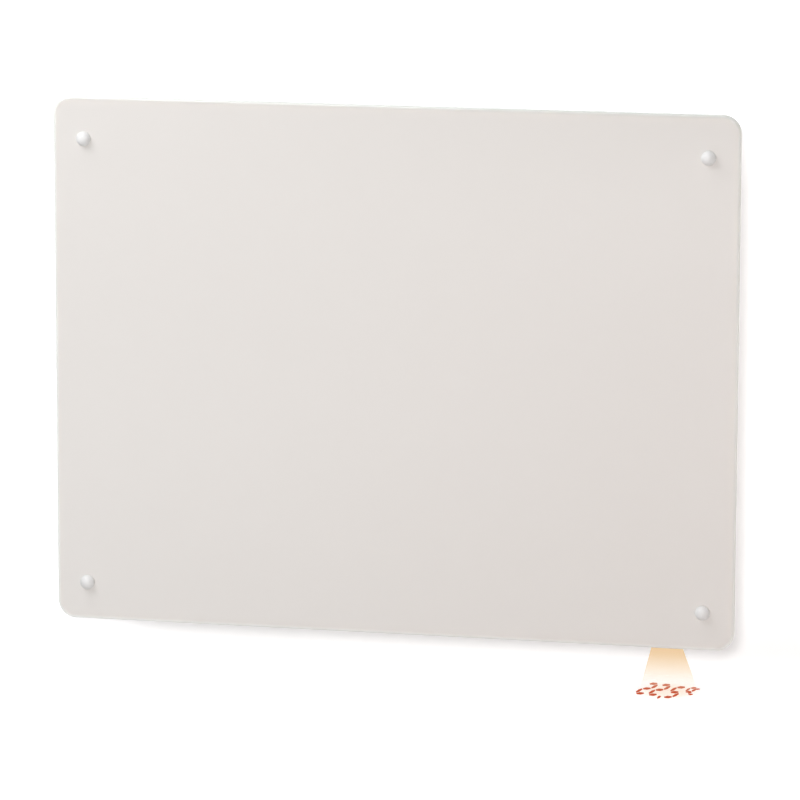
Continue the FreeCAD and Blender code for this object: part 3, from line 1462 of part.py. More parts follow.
def make_terminal_block():
    """Three-pole block: a base on the rear cover, a tower for each pole, wire and screw holes."""
    base_width, base_depth, base_height = TERMINAL_BASE
    tower_width, tower_height = TERMINAL_TOWER
    base_front = COVER_INSIDE_Y - base_depth
    tower_y = (ELEMENT_Y - TERMINAL_TOWER_FRONT, base_front)
    base_z = about(TERMINAL_BLOCK_Z, base_height)
    base = block(about(GROMMET_X, base_width), (base_front, COVER_INSIDE_Y), base_z)
    towers = []
    holes = []
    for x in terminal_poles():
        towers.append(block(about(x, tower_width), tower_y, about(TERMINAL_BLOCK_Z, tower_height)))
        low = V(x, ELEMENT_Y, TERMINAL_BLOCK_Z - tower_height / 2)
        holes.append(hole(low, AXIS_Z, tower_height, LEAD_DIAMETER + TERMINAL_WIRE_ROOM))
        front = V(x, tower_y[0], TERMINAL_BLOCK_Z)
        holes.append(rod(front - AXIS_Y * PAST, front + AXIS_Y * TERMINAL_SCREW_WELL, TERMINAL_SCREW))
    return base.fuse(towers).cut(holes).removeSplitter()


def make_terminal_screws():
    """Headless clamp screws with a driver slot, sunk in the towers."""
    diameter = TERMINAL_SCREW - TERMINAL_SCREW_FIT
    slot_width, slot_depth = TERMINAL_SCREW_SLOT
    head_y = ELEMENT_Y - TERMINAL_TOWER_FRONT + TERMINAL_SCREW_SINK
    slot_y = (head_y - PAST, head_y + slot_depth)
    screws = []
    for x in terminal_poles():
        start = V(x, head_y, TERMINAL_BLOCK_Z)
        body = rod(start, start + AXIS_Y * TERMINAL_SCREW_LENGTH, diameter)
        screws.append(body.cut(block(about(x, TERMINAL_SCREW), slot_y, about(TERMINAL_BLOCK_Z, slot_width))))
    return group(screws)


def make_earth_stud():
    """Earth stud welded on the rear cover, with its ring tag and nut."""
    place = V(terminal_poles()[0], COVER_INSIDE_Y, EARTH_Z)
    outline = [(0, 0)]
    base = 0
    for diameter, height in (EARTH_TAG, EARTH_NUT, EARTH_STUD):
        outline += [(diameter / 2, base), (diameter / 2, height)]
        base = height
    outline.append((0, base))
    return turned(outline, place, -AXIS_Y)


def make_internal_leads():
    """Leads from block to board and earth stud, and from the board through element and cut-out."""
    y = ELEMENT_Y
    top = TERMINAL_BLOCK_Z
    earth, neutral, live = terminal_poles()
    cutout_lead, element_lead, neutral_lead, live_lead = LEAD_LEVELS
    inside = CONNECTOR_X[0] + LEAD_ENTRY
    reach = INSULATOR_LENGTH + TERMINAL_LENGTH
    element_left, element_right = [end + outward * reach for end, outward in element_ends()]
    near_turn, far_turn = ELEMENT_LEAD_TURNS
    earth_turns = [EARTH_Z - drop for drop in EARTH_LEAD_TURN]
    first_blade, second_blade = CUTOUT_BLADES
    blade_y = BLADE_BACK_Y + BLADE_REACH - BLADE_THICKNESS
    blade_z = CUTOUT_Z - BLADE_HALF_FOOT - BLADE_THICKNESS
    live_run = [V(live, y, top), V(live, y, live_lead), V(inside, y, live_lead)]
    neutral_run = [V(neutral, y, top), V(neutral, y, neutral_lead), V(inside, y, neutral_lead)]
    earth_run = [
        V(earth, y, top),
        V(earth, y, earth_turns[0]),
        V(earth, EARTH_LEAD_Y, earth_turns[1]),
        V(earth, EARTH_LEAD_Y, EARTH_Z - EARTH_LEAD_END),
    ]
    element_run = [
        element_right,
        V(near_turn, y, ELEMENT_Z),
        V(far_turn, y, element_lead),
        V(inside, y, element_lead),
    ]
    left_run = [
        element_left,
        V(LEFT_RISER_X, y, ELEMENT_Z),
        V(LEFT_RISER_X, y, RUN_Z),
        V(first_blade, blade_y, RUN_Z),
        V(first_blade, blade_y, blade_z),
    ]
    cutout_run = [
        V(second_blade, blade_y, blade_z),
        V(second_blade, y, CUTOUT_LEAD_Z),
        V(GROMMET_X, y, CUTOUT_LEAD_Z),
        V(GROMMET_X, y, cutout_lead),
        V(inside, y, cutout_lead),
    ]
    runs = (live_run, neutral_run, earth_run, element_run, left_run, cutout_run)
    return group([bent_rod(run, LEAD_DIAMETER, LEAD_BEND) for run in runs])


NODES = {
    "front_glass": make_front_glass(),
    "stud_screws": make_stud_screws(),
    "stud_washers": make_rings(STUD_HEAD, SPACER_BORE, GLASS_FRONT_Y - STUD_WASHER, GLASS_FRONT_Y),
    "glass_bushes": make_rings(GLASS_HOLE - BUSH_CLEARANCE, SPACER_BORE, GLASS_FRONT_Y, GLASS_REAR_Y),
    "glass_seals": make_rings(SPACER_DIAMETER, SPACER_BORE, GLASS_REAR_Y, GLASS_REAR_Y + SEAL_THICKNESS),
    "stud_spacers": make_rings(SPACER_DIAMETER, SPACER_BORE, GLASS_REAR_Y + SEAL_THICKNESS, SPACER_END_Y),
    "rivet_nuts": make_rivet_nuts(),
    "front_casing": make_front_casing(),
    "rear_cover": make_rear_cover(),
    "cover_screws": make_cover_screws(),
    "wall_bracket": make_wall_bracket(),
    "keeper_left": make_keeper(-1),
    "keeper_right": make_keeper(1),
    "keeper_rivets": make_keeper_rivets(),
    "hanger_left": make_hanger(-1),
    "hanger_right": make_hanger(1),
    "hanger_pins": make_hanger_pins(),
    "hanger_rivets": make_rivets(hanger_fixings(REAR_Y + HANGER_SHEET), HANGER_SHEET + SHEET),
    "wall_buffers": make_wall_buffers(),
    "element_fins": make_element_fins(),
    "element_sheath": make_element_sheath(),
    "element_insulators": make_element_insulators(),
    "element_terminals": make_element_terminals(),
    "element_bushes": make_element_bushes(),
    "element_support_left": make_element_support(0),
    "element_support_right": make_element_support(1),
    "support_rivets": make_rivets(support_fixings(REAR_Y), 2 * SHEET),
    "divider_rivets": make_rivets(divider_fixings(REAR_Y), SHEET + SHIELD_SHEET),
    "heat_shield": make_heat_shield(),
    "shield_screws": make_shield_screws(),
    "divider_plate": make_divider_plate(),
    "overheat_cutout": make_overheat_cutout(),
    "control_housing": make_control_housing(),
    "control_lid": make_control_lid(),
    "lid_screws": make_small_screws(lid_fixings(HOUSING_Y[1] + LID_THICKNESS), LID_THICKNESS),
    "housing_nuts": make_housing_nuts(),
    "control_fascia": make_control_fascia(),
    "control_board": make_control_board(),
    "board_screws": make_small_screws(board_fixings(BOARD_Y + BOARD_THICKNESS), BOARD_THICKNESS),
    "board_connectors": make_board_connectors(),
    "power_relay": make_power_relay(),
    "supply_transformer": make_supply_transformer(),
    "board_capacitor": make_board_capacitor(),
    "button_board": make_button_board(),
    "tact_switches": make_tact_switches(),
    "switch_body": make_switch_body(),
    "switch_rocker": make_switch_rocker(),
    "projector_barrel": make_projector_barrel(),
    "projector_lens": make_projector_lens(),
    "projector_slide": make_projector_slide(),
    "projector_lamp": make_projector_lamp(),
    "room_sensor": make_room_sensor(),
    "cord_grommet": make_cord_grommet(),
    "terminal_block": make_terminal_block(),
    "terminal_screws": make_terminal_screws(),
    "earth_stud": make_earth_stud(),
    "internal_leads": make_internal_leads(),
}
for button, level in BUTTON_LEVELS.items():
    NODES[button] = make_button(level)

os.makedirs("parts", exist_ok=True)
for node, shape in NODES.items():
    shape.exportStep("parts/" + node + ".step")
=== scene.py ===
"""Looks of a wall-hung convector heater with a glass front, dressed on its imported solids, in metres."""
import json
import math

import bmesh
import bpy
from mathutils import Matrix, Vector


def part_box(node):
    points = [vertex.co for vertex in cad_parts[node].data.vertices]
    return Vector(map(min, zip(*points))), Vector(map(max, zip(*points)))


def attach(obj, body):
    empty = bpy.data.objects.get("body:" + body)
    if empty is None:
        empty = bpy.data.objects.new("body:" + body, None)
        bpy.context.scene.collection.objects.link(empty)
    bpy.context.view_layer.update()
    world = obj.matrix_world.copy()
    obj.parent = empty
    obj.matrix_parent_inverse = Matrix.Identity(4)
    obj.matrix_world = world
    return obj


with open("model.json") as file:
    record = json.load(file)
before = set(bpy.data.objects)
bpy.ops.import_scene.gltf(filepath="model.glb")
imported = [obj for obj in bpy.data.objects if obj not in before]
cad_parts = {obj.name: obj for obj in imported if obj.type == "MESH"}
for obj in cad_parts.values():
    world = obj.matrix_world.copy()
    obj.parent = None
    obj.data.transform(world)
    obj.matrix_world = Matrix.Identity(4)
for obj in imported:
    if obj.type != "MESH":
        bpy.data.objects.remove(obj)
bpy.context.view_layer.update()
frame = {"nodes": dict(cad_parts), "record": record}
nodes = frame["nodes"]

WHITE = (1.0, 1.0, 1.0)

# The room: a white wall at the bracket's back and a floor a little below the glass. Both glow less near the
# object than far from it, and the wall has a band of painted light at its foot that lightens the object's
# shadow there.
WALL_Y = 0.0005
FLOOR_Z = -0.240
ROOM = 4.0
NEAR_REACH = 0.45
FAR_REACH = 1.3
FOOT_PAINTED_LIGHT_LOW = FLOOR_Z + 0.008
FOOT_PAINTED_LIGHT_HIGH = FLOOR_Z + 0.024

# The glass panel: the middle of its front, its round corners, and the depths in from its edge between which
# the edge's tone and the soaked light fade
PANEL_MIDDLE = Vector((0, -0.080, 0))
GLASS_CORNER = 0.014
EDGE_START = 0.0004
EDGE_END = 0.0036
SOAK_START = 0.0020
SOAK_END = 0.0060

# Height of the finest grain on metal, lacquer and board
FINE_RELIEF = 0.00002

# Moulded signs on the controls: reach, half a stroke's width, rise, softened edge and root
SIGN_REACH = 0.0021
SIGN_HALF = 0.0004
SIGN_RISE = 0.00042
SIGN_SOFTENING = 0.00008
SIGN_ROOT = -0.0001
RING_STEPS = 32

# The faces that carry the signs: a button's dish, and the rocker's waist, horns, half length and tilt, with
# the share of its half length at which a sign stands
BUTTON_DISH = 0.0006
ROCKER_WAIST = 0.0019
ROCKER_HORN = 0.0036
ROCKER_HALF = 0.0076
ROCKER_TILT = math.radians(8.0)
ROCKER_SIGN_SHARE = 0.55

# The projector's beam: its ends as (middle x, half width, half depth, height), and the heights between which
# its colour deepens and its light thickens
BEAM_Y = -0.0455
BEAM_TOP = (0.2031, 0.0051, 0.0015, -0.1868)
BEAM_FOOT = (0.2061, 0.0214, 0.0050, FLOOR_Z + 0.0004)
BEAM_PALE_Z = -0.232
BEAM_DEEP_Z = -0.208
BEAM_CLEAR_Z = -0.244
BEAM_DENSE_Z = -0.203

# The reading on the floor: its height, the cells of its signs with their first corners, half a stroke's width
# and height as shares of a cell, and the gap at a stroke's ends
READING_Z = FLOOR_Z + 0.0006
DIGIT_ACROSS = Vector((0.0068, -0.0013))
DIGIT_UPWARD = Vector((0.0048, 0.0322))
COMMA_ACROSS = Vector((0.0009, -0.0002))
COMMA_UPWARD = Vector((0.0005, 0.0240))
DEGREE_ACROSS = DIGIT_ACROSS * 0.72
DEGREE_UPWARD = DIGIT_UPWARD * 0.80
UNIT_ACROSS = DIGIT_ACROSS * 0.6
UNIT_UPWARD = DIGIT_UPWARD * 0.55
FIRST_DIGIT = Vector((0.1838, -0.0618))
SECOND_DIGIT = Vector((0.1938, -0.0636))
THIRD_DIGIT = Vector((0.2060, -0.0685))
COMMA = Vector((0.2027, -0.0768))
DEGREE = Vector((0.2174, -0.0620))
UNIT = Vector((0.2226, -0.0570))
STROKE_HALF_U = 0.21
STROKE_HALF_V = 0.115
STROKE_GAP = 0.22

# The pool of light round the reading
POOL_Z = FLOOR_Z + 0.0003
POOL_MIDDLE = (0.2062, -0.0510, 0.0)
POOL_HALF = (0.0310, 0.0350)

# The photograph's camera: angles, distance from the panel's middle, steps aside and down, and lens
CAMERA_AZIMUTH = math.radians(12.287)
CAMERA_ELEVATION = math.radians(10.487)
CAMERA_ROLL = math.radians(0.146)
CAMERA_DISTANCE = 3.7147
CAMERA_ASIDE = 0.00625
CAMERA_DOWN = 0.02035
CAMERA_LENS = 224.52
CAMERA_SENSOR = 36.0
CAMERA_FAR = 100.0


class Looks:
    """One procedural material: short calls that add and link its nodes."""

    def __init__(self, name):
        self.material = bpy.data.materials.new(name)
        self.material.use_nodes = True
        self.tree = self.material.node_tree
        self.tree.nodes.clear()
        self.output = self.add("ShaderNodeOutputMaterial")
        self.place = self.add("ShaderNodeTexCoord").outputs["Object"]

    def add(self, kind, **settings):
        node = self.tree.nodes.new(kind)
        for key, value in settings.items():
            setattr(node, key, value)
        return node

    def feed(self, socket, value):
        if isinstance(value, bpy.types.NodeSocket):
            self.tree.links.new(value, socket)
        else:
            socket.default_value = value

    def math(self, operation, first, second):
        node = self.add("ShaderNodeMath", operation=operation)
        self.feed(node.inputs[0], first)
        self.feed(node.inputs[1], second)
        return node.outputs[0]

    def vector(self, operation, first, second=(0.0, 0.0, 0.0)):
        node = self.add("ShaderNodeVectorMath", operation=operation)
        self.feed(node.inputs[0], first)
        self.feed(node.inputs[1], second)
        return node.outputs["Value" if operation == "LENGTH" else "Vector"]

    def split(self, vector):
        node = self.add("ShaderNodeSeparateXYZ")
        self.feed(node.inputs[0], vector)
        return node.outputs

    def noise(self, scale, detail=3.0, stretch=(1.0, 1.0, 1.0)):
        node = self.add("ShaderNodeTexNoise")
        self.feed(node.inputs["Vector"], self.vector("MULTIPLY", self.place, stretch))
        self.feed(node.inputs["Scale"], scale)
        self.feed(node.inputs["Detail"], detail)
        return node.outputs[0]

    def ramp(self, value, low, high, start=0.0, end=1.0):
        node = self.add("ShaderNodeMapRange", interpolation_type="SMOOTHSTEP")
        self.feed(node.inputs["Value"], value)
        for name, number in (("From Min", low), ("From Max", high), ("To Min", start), ("To Max", end)):
            self.feed(node.inputs[name], number)
        return node.outputs[0]

    def mix(self, share, first, second):
        node = self.add("ShaderNodeMix", data_type="RGBA")
        self.feed(node.inputs["Factor"], share)
        for socket, colour in ((node.inputs[6], first), (node.inputs[7], second)):
            self.feed(socket, colour if isinstance(colour, bpy.types.NodeSocket) else (*colour, 1.0))
        return node.outputs[2]

    def bump(self, height, strength, distance):
        node = self.add("ShaderNodeBump")
        self.feed(node.inputs["Height"], height)
        self.feed(node.inputs["Strength"], strength)
        self.feed(node.inputs["Distance"], distance)
        return node.outputs["Normal"]

    def principled(self, **sockets):
        node = self.add("ShaderNodeBsdfPrincipled")
        for name, value in sockets.items():
            self.feed(node.inputs[name.replace("_", " ")], value)
        return self.surface(node)

    def blend(self, share, first, second):
        node = self.add("ShaderNodeMixShader")
        self.feed(node.inputs[0], share)
        self.tree.links.new(first.outputs[0], node.inputs[1])
        self.tree.links.new(second.outputs[0], node.inputs[2])
        return node

    def surface(self, shader):
        self.tree.links.new(shader.outputs[0], self.output.inputs["Surface"])
        return self.material


def shaded(colour, factor):
    return tuple(min(1.0, channel * factor) for channel in colour)


def coated(name, colour, roughness, peel, depth=0.00003, spread=0.04):
    """Paint, plastic or rubber: cloudy colour, uneven gloss and a fine skin."""
    looks = Looks(name)
    clouds = looks.noise(28.0, 4.0)
    base = looks.mix(clouds, shaded(colour, 1.0 - spread), shaded(colour, 1.0 + spread))
    gloss = looks.ramp(looks.noise(150.0), 0.25, 0.75, roughness * 0.85, roughness * 1.15)
    skin = looks.bump(looks.noise(peel, 2.0), 0.35, depth)
    return looks.principled(Base_Color=base, Roughness=gloss, Normal=skin)


def brushed(name, colour, roughness, stretch, scale=260.0):
    """Bare metal with fine lines along one direction and cloudy tarnish."""
    looks = Looks(name)
    lines = looks.noise(scale, 3.0, stretch)
    fine = looks.math("MULTIPLY", lines, 0.6)
    tarnish = looks.math("MULTIPLY", looks.noise(22.0), 0.4)
    base = looks.mix(looks.math("ADD", fine, tarnish), shaded(colour, 0.9), shaded(colour, 1.1))
    gloss = looks.ramp(lines, 0.3, 0.7, roughness * 0.8, roughness * 1.25)
    skin = looks.bump(lines, 0.25, FINE_RELIEF)
    return looks.principled(Base_Color=base, Roughness=gloss, Normal=skin, Metallic=1.0)


def spangled(name, colour, roughness):
    """Zinc-dipped sheet: crystal spangles of unequal tone."""
    looks = Looks(name)
    cells = looks.add("ShaderNodeTexVoronoi")
    looks.feed(cells.inputs["Vector"], looks.place)
    looks.feed(cells.inputs["Scale"], 150.0)
    tone = looks.split(cells.outputs["Color"])[0]
    base = looks.mix(tone, shaded(colour, 0.86), shaded(colour, 1.10))
    gloss = looks.ramp(tone, 0.0, 1.0, roughness * 0.8, roughness * 1.3)
    grain = looks.bump(looks.noise(600.0, 2.0), 0.2, FINE_RELIEF)
    return looks.principled(Base_Color=base, Roughness=gloss, Normal=grain, Metallic=1.0)


def panel_glass():
    """White back-painted glass: cream paint, faint roller waves, and a greenish edge that light soaks into.

    The edge carries painted light along the foot and painted shade along the top: palest at the foot, deepest
    at the top.
    """
    looks = Looks("white_glass")
    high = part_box("front_glass")[1]
    core = (high.x - GLASS_CORNER, 1.0, high.z - GLASS_CORNER)
    inset = looks.vector("SUBTRACT", looks.vector("ABSOLUTE", looks.place), core)
    beyond = looks.vector("LENGTH", looks.vector("MAXIMUM", inset))
    sides = looks.split(inset)
    within = looks.math("MINIMUM", looks.math("MAXIMUM", sides["X"], sides["Z"]), 0.0)
    depth = looks.math("SUBTRACT", GLASS_CORNER, looks.math("ADD", beyond, within))
    paint = looks.mix(looks.noise(5.0, 2.0), (0.750, 0.723, 0.689), (0.761, 0.734, 0.700))
    height = looks.split(looks.place)["Z"]
    # Painted light along the foot and painted shade along the top of the glass edge, set against how the
    # lamps fall on it
    painted_foot_light = looks.ramp(height, -high.z, -core[2])
    painted_top_shade = looks.ramp(height, core[2], high.z)
    edge = looks.mix(painted_foot_light, (0.925, 0.935, 0.900), (0.750, 0.760, 0.730))
    edge = looks.mix(painted_top_shade, edge, (0.600, 0.611, 0.586))
    base = looks.mix(looks.ramp(depth, EDGE_START, EDGE_END, 0.8, 0.0), paint, edge)
    smear = looks.ramp(looks.noise(14.0, 4.0), 0.35, 0.75, 0.055, 0.095)
    waves = looks.bump(looks.noise(6.0, 1.0), 0.05, 0.0004)
    return looks.principled(
        Base_Color=base,
        Roughness=smear,
        Normal=waves,
        IOR=1.5,
        Coat_Weight=0.15,
        Subsurface_Weight=looks.ramp(depth, SOAK_START, SOAK_END, 1.0, 0.0),
        Subsurface_Radius=(1.0, 1.0, 0.95),
        Subsurface_Scale=0.006,
    )


def satin_silver():
    """Silver-lacquered dome with a fine satin grain."""
    looks = Looks("stud_silver")
    grain = looks.noise(800.0)
    base = looks.mix(grain, (0.725, 0.722, 0.711), (0.780, 0.777, 0.766))
    gloss = looks.ramp(grain, 0.3, 0.7, 0.46, 0.54)
    skin = looks.bump(grain, 0.15, FINE_RELIEF)
    return looks.principled(Base_Color=base, Roughness=gloss, Metallic=0.05, Normal=skin)


def glowing(name, colour, strength):
    """Lamp or lit film, with a fine grain in its glow."""
    looks = Looks(name)
    base = looks.mix(looks.noise(900.0, 2.0), shaded(colour, 0.8), shaded(colour, 1.1))
    return looks.principled(Base_Color=base, Roughness=0.25, Emission_Color=base, Emission_Strength=strength)


def lens_glass():
    """Warm clear lens with faint smears."""
    looks = Looks("clear_lens")
    smear = looks.ramp(looks.noise(120.0), 0.3, 0.8, 0.03, 0.10)
    base = looks.mix(looks.noise(60.0, 2.0), (0.96, 0.90, 0.82), (0.98, 0.94, 0.88))
    return looks.principled(Base_Color=base, Roughness=smear, IOR=1.49, Transmission_Weight=0.9)


def circuit_board():
    """Green lacquer over tracks, with a fine weave beneath."""
    looks = Looks("board_green")
    tracks = looks.add("ShaderNodeTexBrick")
    looks.feed(tracks.inputs["Vector"], looks.place)
    looks.feed(tracks.inputs["Scale"], 240.0)
    looks.feed(tracks.inputs["Mortar Size"], 0.06)
    lacquer = looks.mix(looks.noise(90.0), (0.012, 0.13, 0.045), (0.02, 0.18, 0.065))
    base = looks.mix(tracks.outputs["Fac"], lacquer, (0.05, 0.30, 0.12))
    weave = looks.bump(looks.noise(1500.0, 2.0), 0.2, FINE_RELIEF)
    return looks.principled(Base_Color=base, Roughness=0.35, Normal=weave)


MATERIALS = {
    "white_glass": panel_glass(),
    "stud_silver": satin_silver(),
    "clear_silicone": coated("clear_silicone", (0.62, 0.62, 0.60), 0.45, 700.0),
    "nylon_natural": coated("nylon_natural", (0.70, 0.68, 0.62), 0.45, 700.0),
    "spacer_aluminium": brushed("spacer_aluminium", (0.60, 0.60, 0.61), 0.34, (1.0, 12.0, 1.0)),
    "zinc_steel": brushed("zinc_steel", (0.58, 0.58, 0.57), 0.34, (1.0, 1.0, 1.0), 700.0),
    "white_casing": coated("white_casing", (0.80, 0.795, 0.775), 0.42, 1100.0, 0.00006, 0.015),
    "bracket_steel": spangled("bracket_steel", (0.56, 0.575, 0.59), 0.38),
    "black_rubber": coated("black_rubber", (0.022, 0.022, 0.023), 0.70, 800.0, 0.00005, 0.2),
    "grey_rubber": coated("grey_rubber", (0.16, 0.16, 0.165), 0.75, 800.0, 0.00005, 0.1),
    "element_aluminium": brushed("element_aluminium", (0.70, 0.70, 0.71), 0.38, (10.0, 1.0, 1.0)),
    "sheath_steel": brushed("sheath_steel", (0.42, 0.40, 0.37), 0.36, (8.0, 1.0, 1.0)),
    "white_ceramic": coated("white_ceramic", (0.78, 0.76, 0.70), 0.55, 1400.0),
    "bush_silicone": coated("bush_silicone", (0.42, 0.10, 0.05), 0.62, 800.0),
    "aluminised_steel": spangled("aluminised_steel", (0.66, 0.665, 0.67), 0.32),
    "white_plastic": coated("white_plastic", (0.78, 0.775, 0.755), 0.40, 1600.0, 0.00003, 0.015),
    "grey_plastic": coated("grey_plastic", (0.30, 0.30, 0.305), 0.42, 1600.0, 0.00003, 0.05),
    "black_plastic": coated("black_plastic", (0.020, 0.020, 0.021), 0.40, 1600.0, 0.00004, 0.15),
    "board_green": circuit_board(),
    "relay_blue": coated("relay_blue", (0.02, 0.09, 0.34), 0.28, 1500.0),
    "capacitor_sleeve": coated("capacitor_sleeve", (0.015, 0.015, 0.03), 0.25, 1200.0),
    "clear_lens": lens_glass(),
    "slide_film": glowing("slide_film", (0.9, 0.28, 0.06), 0.6),
    "lamp_emitter": glowing("lamp_emitter", (1.0, 0.35, 0.08), 2.0),
    "terminal_brass": brushed("terminal_brass", (0.70, 0.52, 0.22), 0.30, (1.0, 1.0, 1.0), 500.0),
    "lead_insulation": coated("lead_insulation", (0.66, 0.64, 0.60), 0.50, 900.0),
}

for subpart in frame["record"]["subparts"]:
    surfaces = nodes[subpart["node"]].data.materials
    surfaces.clear()
    surfaces.append(MATERIALS[subpart["material_slot"]])


def new_mesh(name, bm, material):
    mesh = bpy.data.meshes.new(name)
    bm.to_mesh(mesh)
    bm.free()
    mesh.materials.append(material)
    made = bpy.data.objects.new(name, mesh)
    bpy.context.scene.collection.objects.link(made)
    return made


# Moulded signs on the buttons and the rocker


def plus_sign(inset):
    """Outline of a plus: one arm's corners, repeated by quarter turns."""
    reach = SIGN_REACH - inset
    half = SIGN_HALF - inset
    arm = [(half, half), (half, reach), (-half, reach)]
    loop = []
    for _ in range(4):
        loop += arm
        arm = [(-v, u) for u, v in arm]
    return [loop]


def bar_sign(reach, half):
    return [[(-reach, -half), (reach, -half), (reach, half), (-reach, half)]]


def minus_sign(inset):
    return bar_sign(SIGN_REACH - inset, SIGN_HALF - inset)


def on_sign(inset):
    return bar_sign(SIGN_HALF - inset, SIGN_REACH - inset)


def ring_sign(inset):
    """Outer and inner circle of a ring."""
    loops = []
    for radius in (SIGN_REACH - inset, SIGN_REACH - 2 * SIGN_HALF + inset):
        turns = [2 * math.pi * step / RING_STEPS for step in range(RING_STEPS)]
        loops.append([(radius * math.cos(turn), radius * math.sin(turn)) for turn in turns])
    return loops


def button_face(node):
    """Places on a button's dished face, by steps across and up it and a lift out of it."""
    low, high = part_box(node)
    middle = (low + high) / 2
    return lambda u, v, lift: (high.x - BUTTON_DISH + lift, middle.y + u, middle.z + v)


def rocker_face(end):
    """Places on one half of the rocker's face: the upper half where end is 1, the lower where it is -1."""
    low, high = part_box("switch_body")
    pivot = (low + high) / 2
    pivot.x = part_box("front_casing")[1].x
    turn = Matrix.Rotation(ROCKER_TILT, 3, "Y")
    rise = ROCKER_HORN - ROCKER_WAIST
    slope = Vector((rise, 0.0, end * ROCKER_HALF))
    middle = Vector((ROCKER_WAIST, 0.0, 0.0)) + slope * ROCKER_SIGN_SHARE
    upward = slope.normalized() * end
    outward = Vector((ROCKER_HALF, 0.0, -end * rise)).normalized()
    return lambda u, v, lift: pivot + turn @ (middle + Vector((0.0, u, 0.0)) + upward * v + outward * lift)


def raised_sign(name, loops_at, place, body):
    """Moulded sign: its loops swept up from under the surface to a softened top, closed at both ends."""
    bm = bmesh.new()
    rows = []
    for lift, inset in ((SIGN_ROOT, 0.0), (SIGN_RISE - SIGN_SOFTENING, 0.0), (SIGN_RISE, SIGN_SOFTENING)):
        rows.append([[bm.verts.new(place(u, v, lift)) for u, v in loop] for loop in loops_at(inset)])
    for lower, upper in zip(rows, rows[1:]):
        for low, high in zip(lower, upper):
            for at in range(len(low)):
                bm.faces.new((low[at - 1], low[at], high[at], high[at - 1]))
    for loops in (rows[0], rows[-1]):
        if len(loops) == 1:
            bm.faces.new(loops[0])
        else:
            outer, inner = loops
            for at in range(len(outer)):
                bm.faces.new((outer[at - 1], outer[at], inner[at], inner[at - 1]))
    bmesh.ops.recalc_face_normals(bm, faces=bm.faces)
    sign = new_mesh(name, bm, MATERIALS["white_plastic"])
    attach(sign, body)


raised_sign("plus_sign", plus_sign, button_face("button_plus"), "plus_button")
raised_sign("mode_sign", ring_sign, button_face("button_mode"), "mode_button")
raised_sign("minus_sign", minus_sign, button_face("button_minus"), "minus_button")
raised_sign("rocker_on_sign", on_sign, rocker_face(1), "power_rocker")
raised_sign("rocker_off_sign", ring_sign, rocker_face(-1), "power_rocker")


# The room, and the light that the projector throws


def rectangle(name, corners, material):
    bm = bmesh.new()
    bm.faces.new([bm.verts.new(corner) for corner in corners])
    return new_mesh(name, bm, material)


def backdrop(name, tone, glow, foot_painted_light):
    """One-sided pale surface: it shows white with the object's shadow, lightened by painted light at its
    foot, and is clear from behind.
    """
    looks = Looks(name)
    height = looks.split(looks.place)["Z"]
    # Painted light: a stronger glow in the band at the wall's foot, where the panel's shadow falls below it
    near = looks.ramp(height, FOOT_PAINTED_LIGHT_LOW, FOOT_PAINTED_LIGHT_HIGH, foot_painted_light, glow)
    spread = looks.ramp(looks.vector("LENGTH", looks.place), NEAR_REACH, FAR_REACH, near, 1.0)
    path = looks.add("ShaderNodeLightPath")
    seen = looks.math("MAXIMUM", path.outputs["Is Camera Ray"], path.outputs["Is Glossy Ray"])
    seen = looks.math("MAXIMUM", seen, path.outputs["Is Transmission Ray"])
    pale = looks.add("ShaderNodeBsdfDiffuse")
    looks.feed(pale.inputs["Color"], looks.mix(looks.noise(3.0, 2.0), (tone * 0.995,) * 3, (tone,) * 3))
    light = looks.add("ShaderNodeEmission")
    looks.feed(light.inputs["Strength"], looks.math("MULTIPLY", seen, spread))
    both = looks.add("ShaderNodeAddShader")
    looks.tree.links.new(pale.outputs[0], both.inputs[0])
    looks.tree.links.new(light.outputs[0], both.inputs[1])
    side = looks.add("ShaderNodeNewGeometry")
    clear = looks.add("ShaderNodeBsdfTransparent")
    return looks.surface(looks.blend(side.outputs["Backfacing"], both, clear))


def stroke(start, end, half_u, half_v):
    """Six-cornered bar between two corners of a digit's cell."""
    level = start.y == end.y
    side = Vector((0.0, half_v)) if level else Vector((half_u, 0.0))
    inset = Vector((half_u, 0.0)) if level else Vector((0.0, half_v))
    start = start + inset * STROKE_GAP
    end = end - inset * STROKE_GAP
    near = start + inset
    far = end - inset
    return [start, near - side, far - side, end, far + side, near + side]


def glyph(bm, marks, origin, across, upward, half_u=STROKE_HALF_U, half_v=STROKE_HALF_V):
    """One sign of the reading, as bars lying on the floor; its marks are the strokes of a seven-bar digit."""
    ends = {
        "a": ((0, 1), (1, 1)),
        "b": ((1, 0.5), (1, 1)),
        "c": ((1, 0), (1, 0.5)),
        "d": ((0, 0), (1, 0)),
        "e": ((0, 0), (0, 0.5)),
        "f": ((0, 0.5), (0, 1)),
        "g": ((0, 0.5), (1, 0.5)),
    }
    for mark in marks:
        start, end = (Vector(corner) for corner in ends[mark])
        corners = []
        for corner in stroke(start, end, half_u, half_v):
            place = origin + across * corner.x + upward * corner.y
            corners.append(bm.verts.new((place.x, place.y, READING_Z)))
        bm.faces.new(corners)


def reading(material):
    """The temperature on the floor: 22,5 and a degree sign with its C."""
    bm = bmesh.new()
    glyph(bm, "abged", FIRST_DIGIT, DIGIT_ACROSS, DIGIT_UPWARD)
    glyph(bm, "abged", SECOND_DIGIT, DIGIT_ACROSS, DIGIT_UPWARD)
    glyph(bm, "afgcd", THIRD_DIGIT, DIGIT_ACROSS, DIGIT_UPWARD)
    glyph(bm, "e", COMMA, COMMA_ACROSS, COMMA_UPWARD, STROKE_HALF_U * 6)
    glyph(bm, "abgf", DEGREE, DEGREE_ACROSS, DEGREE_UPWARD)
    glyph(bm, "afed", UNIT, UNIT_ACROSS, UNIT_UPWARD, STROKE_HALF_U * 1.2, STROKE_HALF_V * 1.2)
    return new_mesh("reading", bm, material)


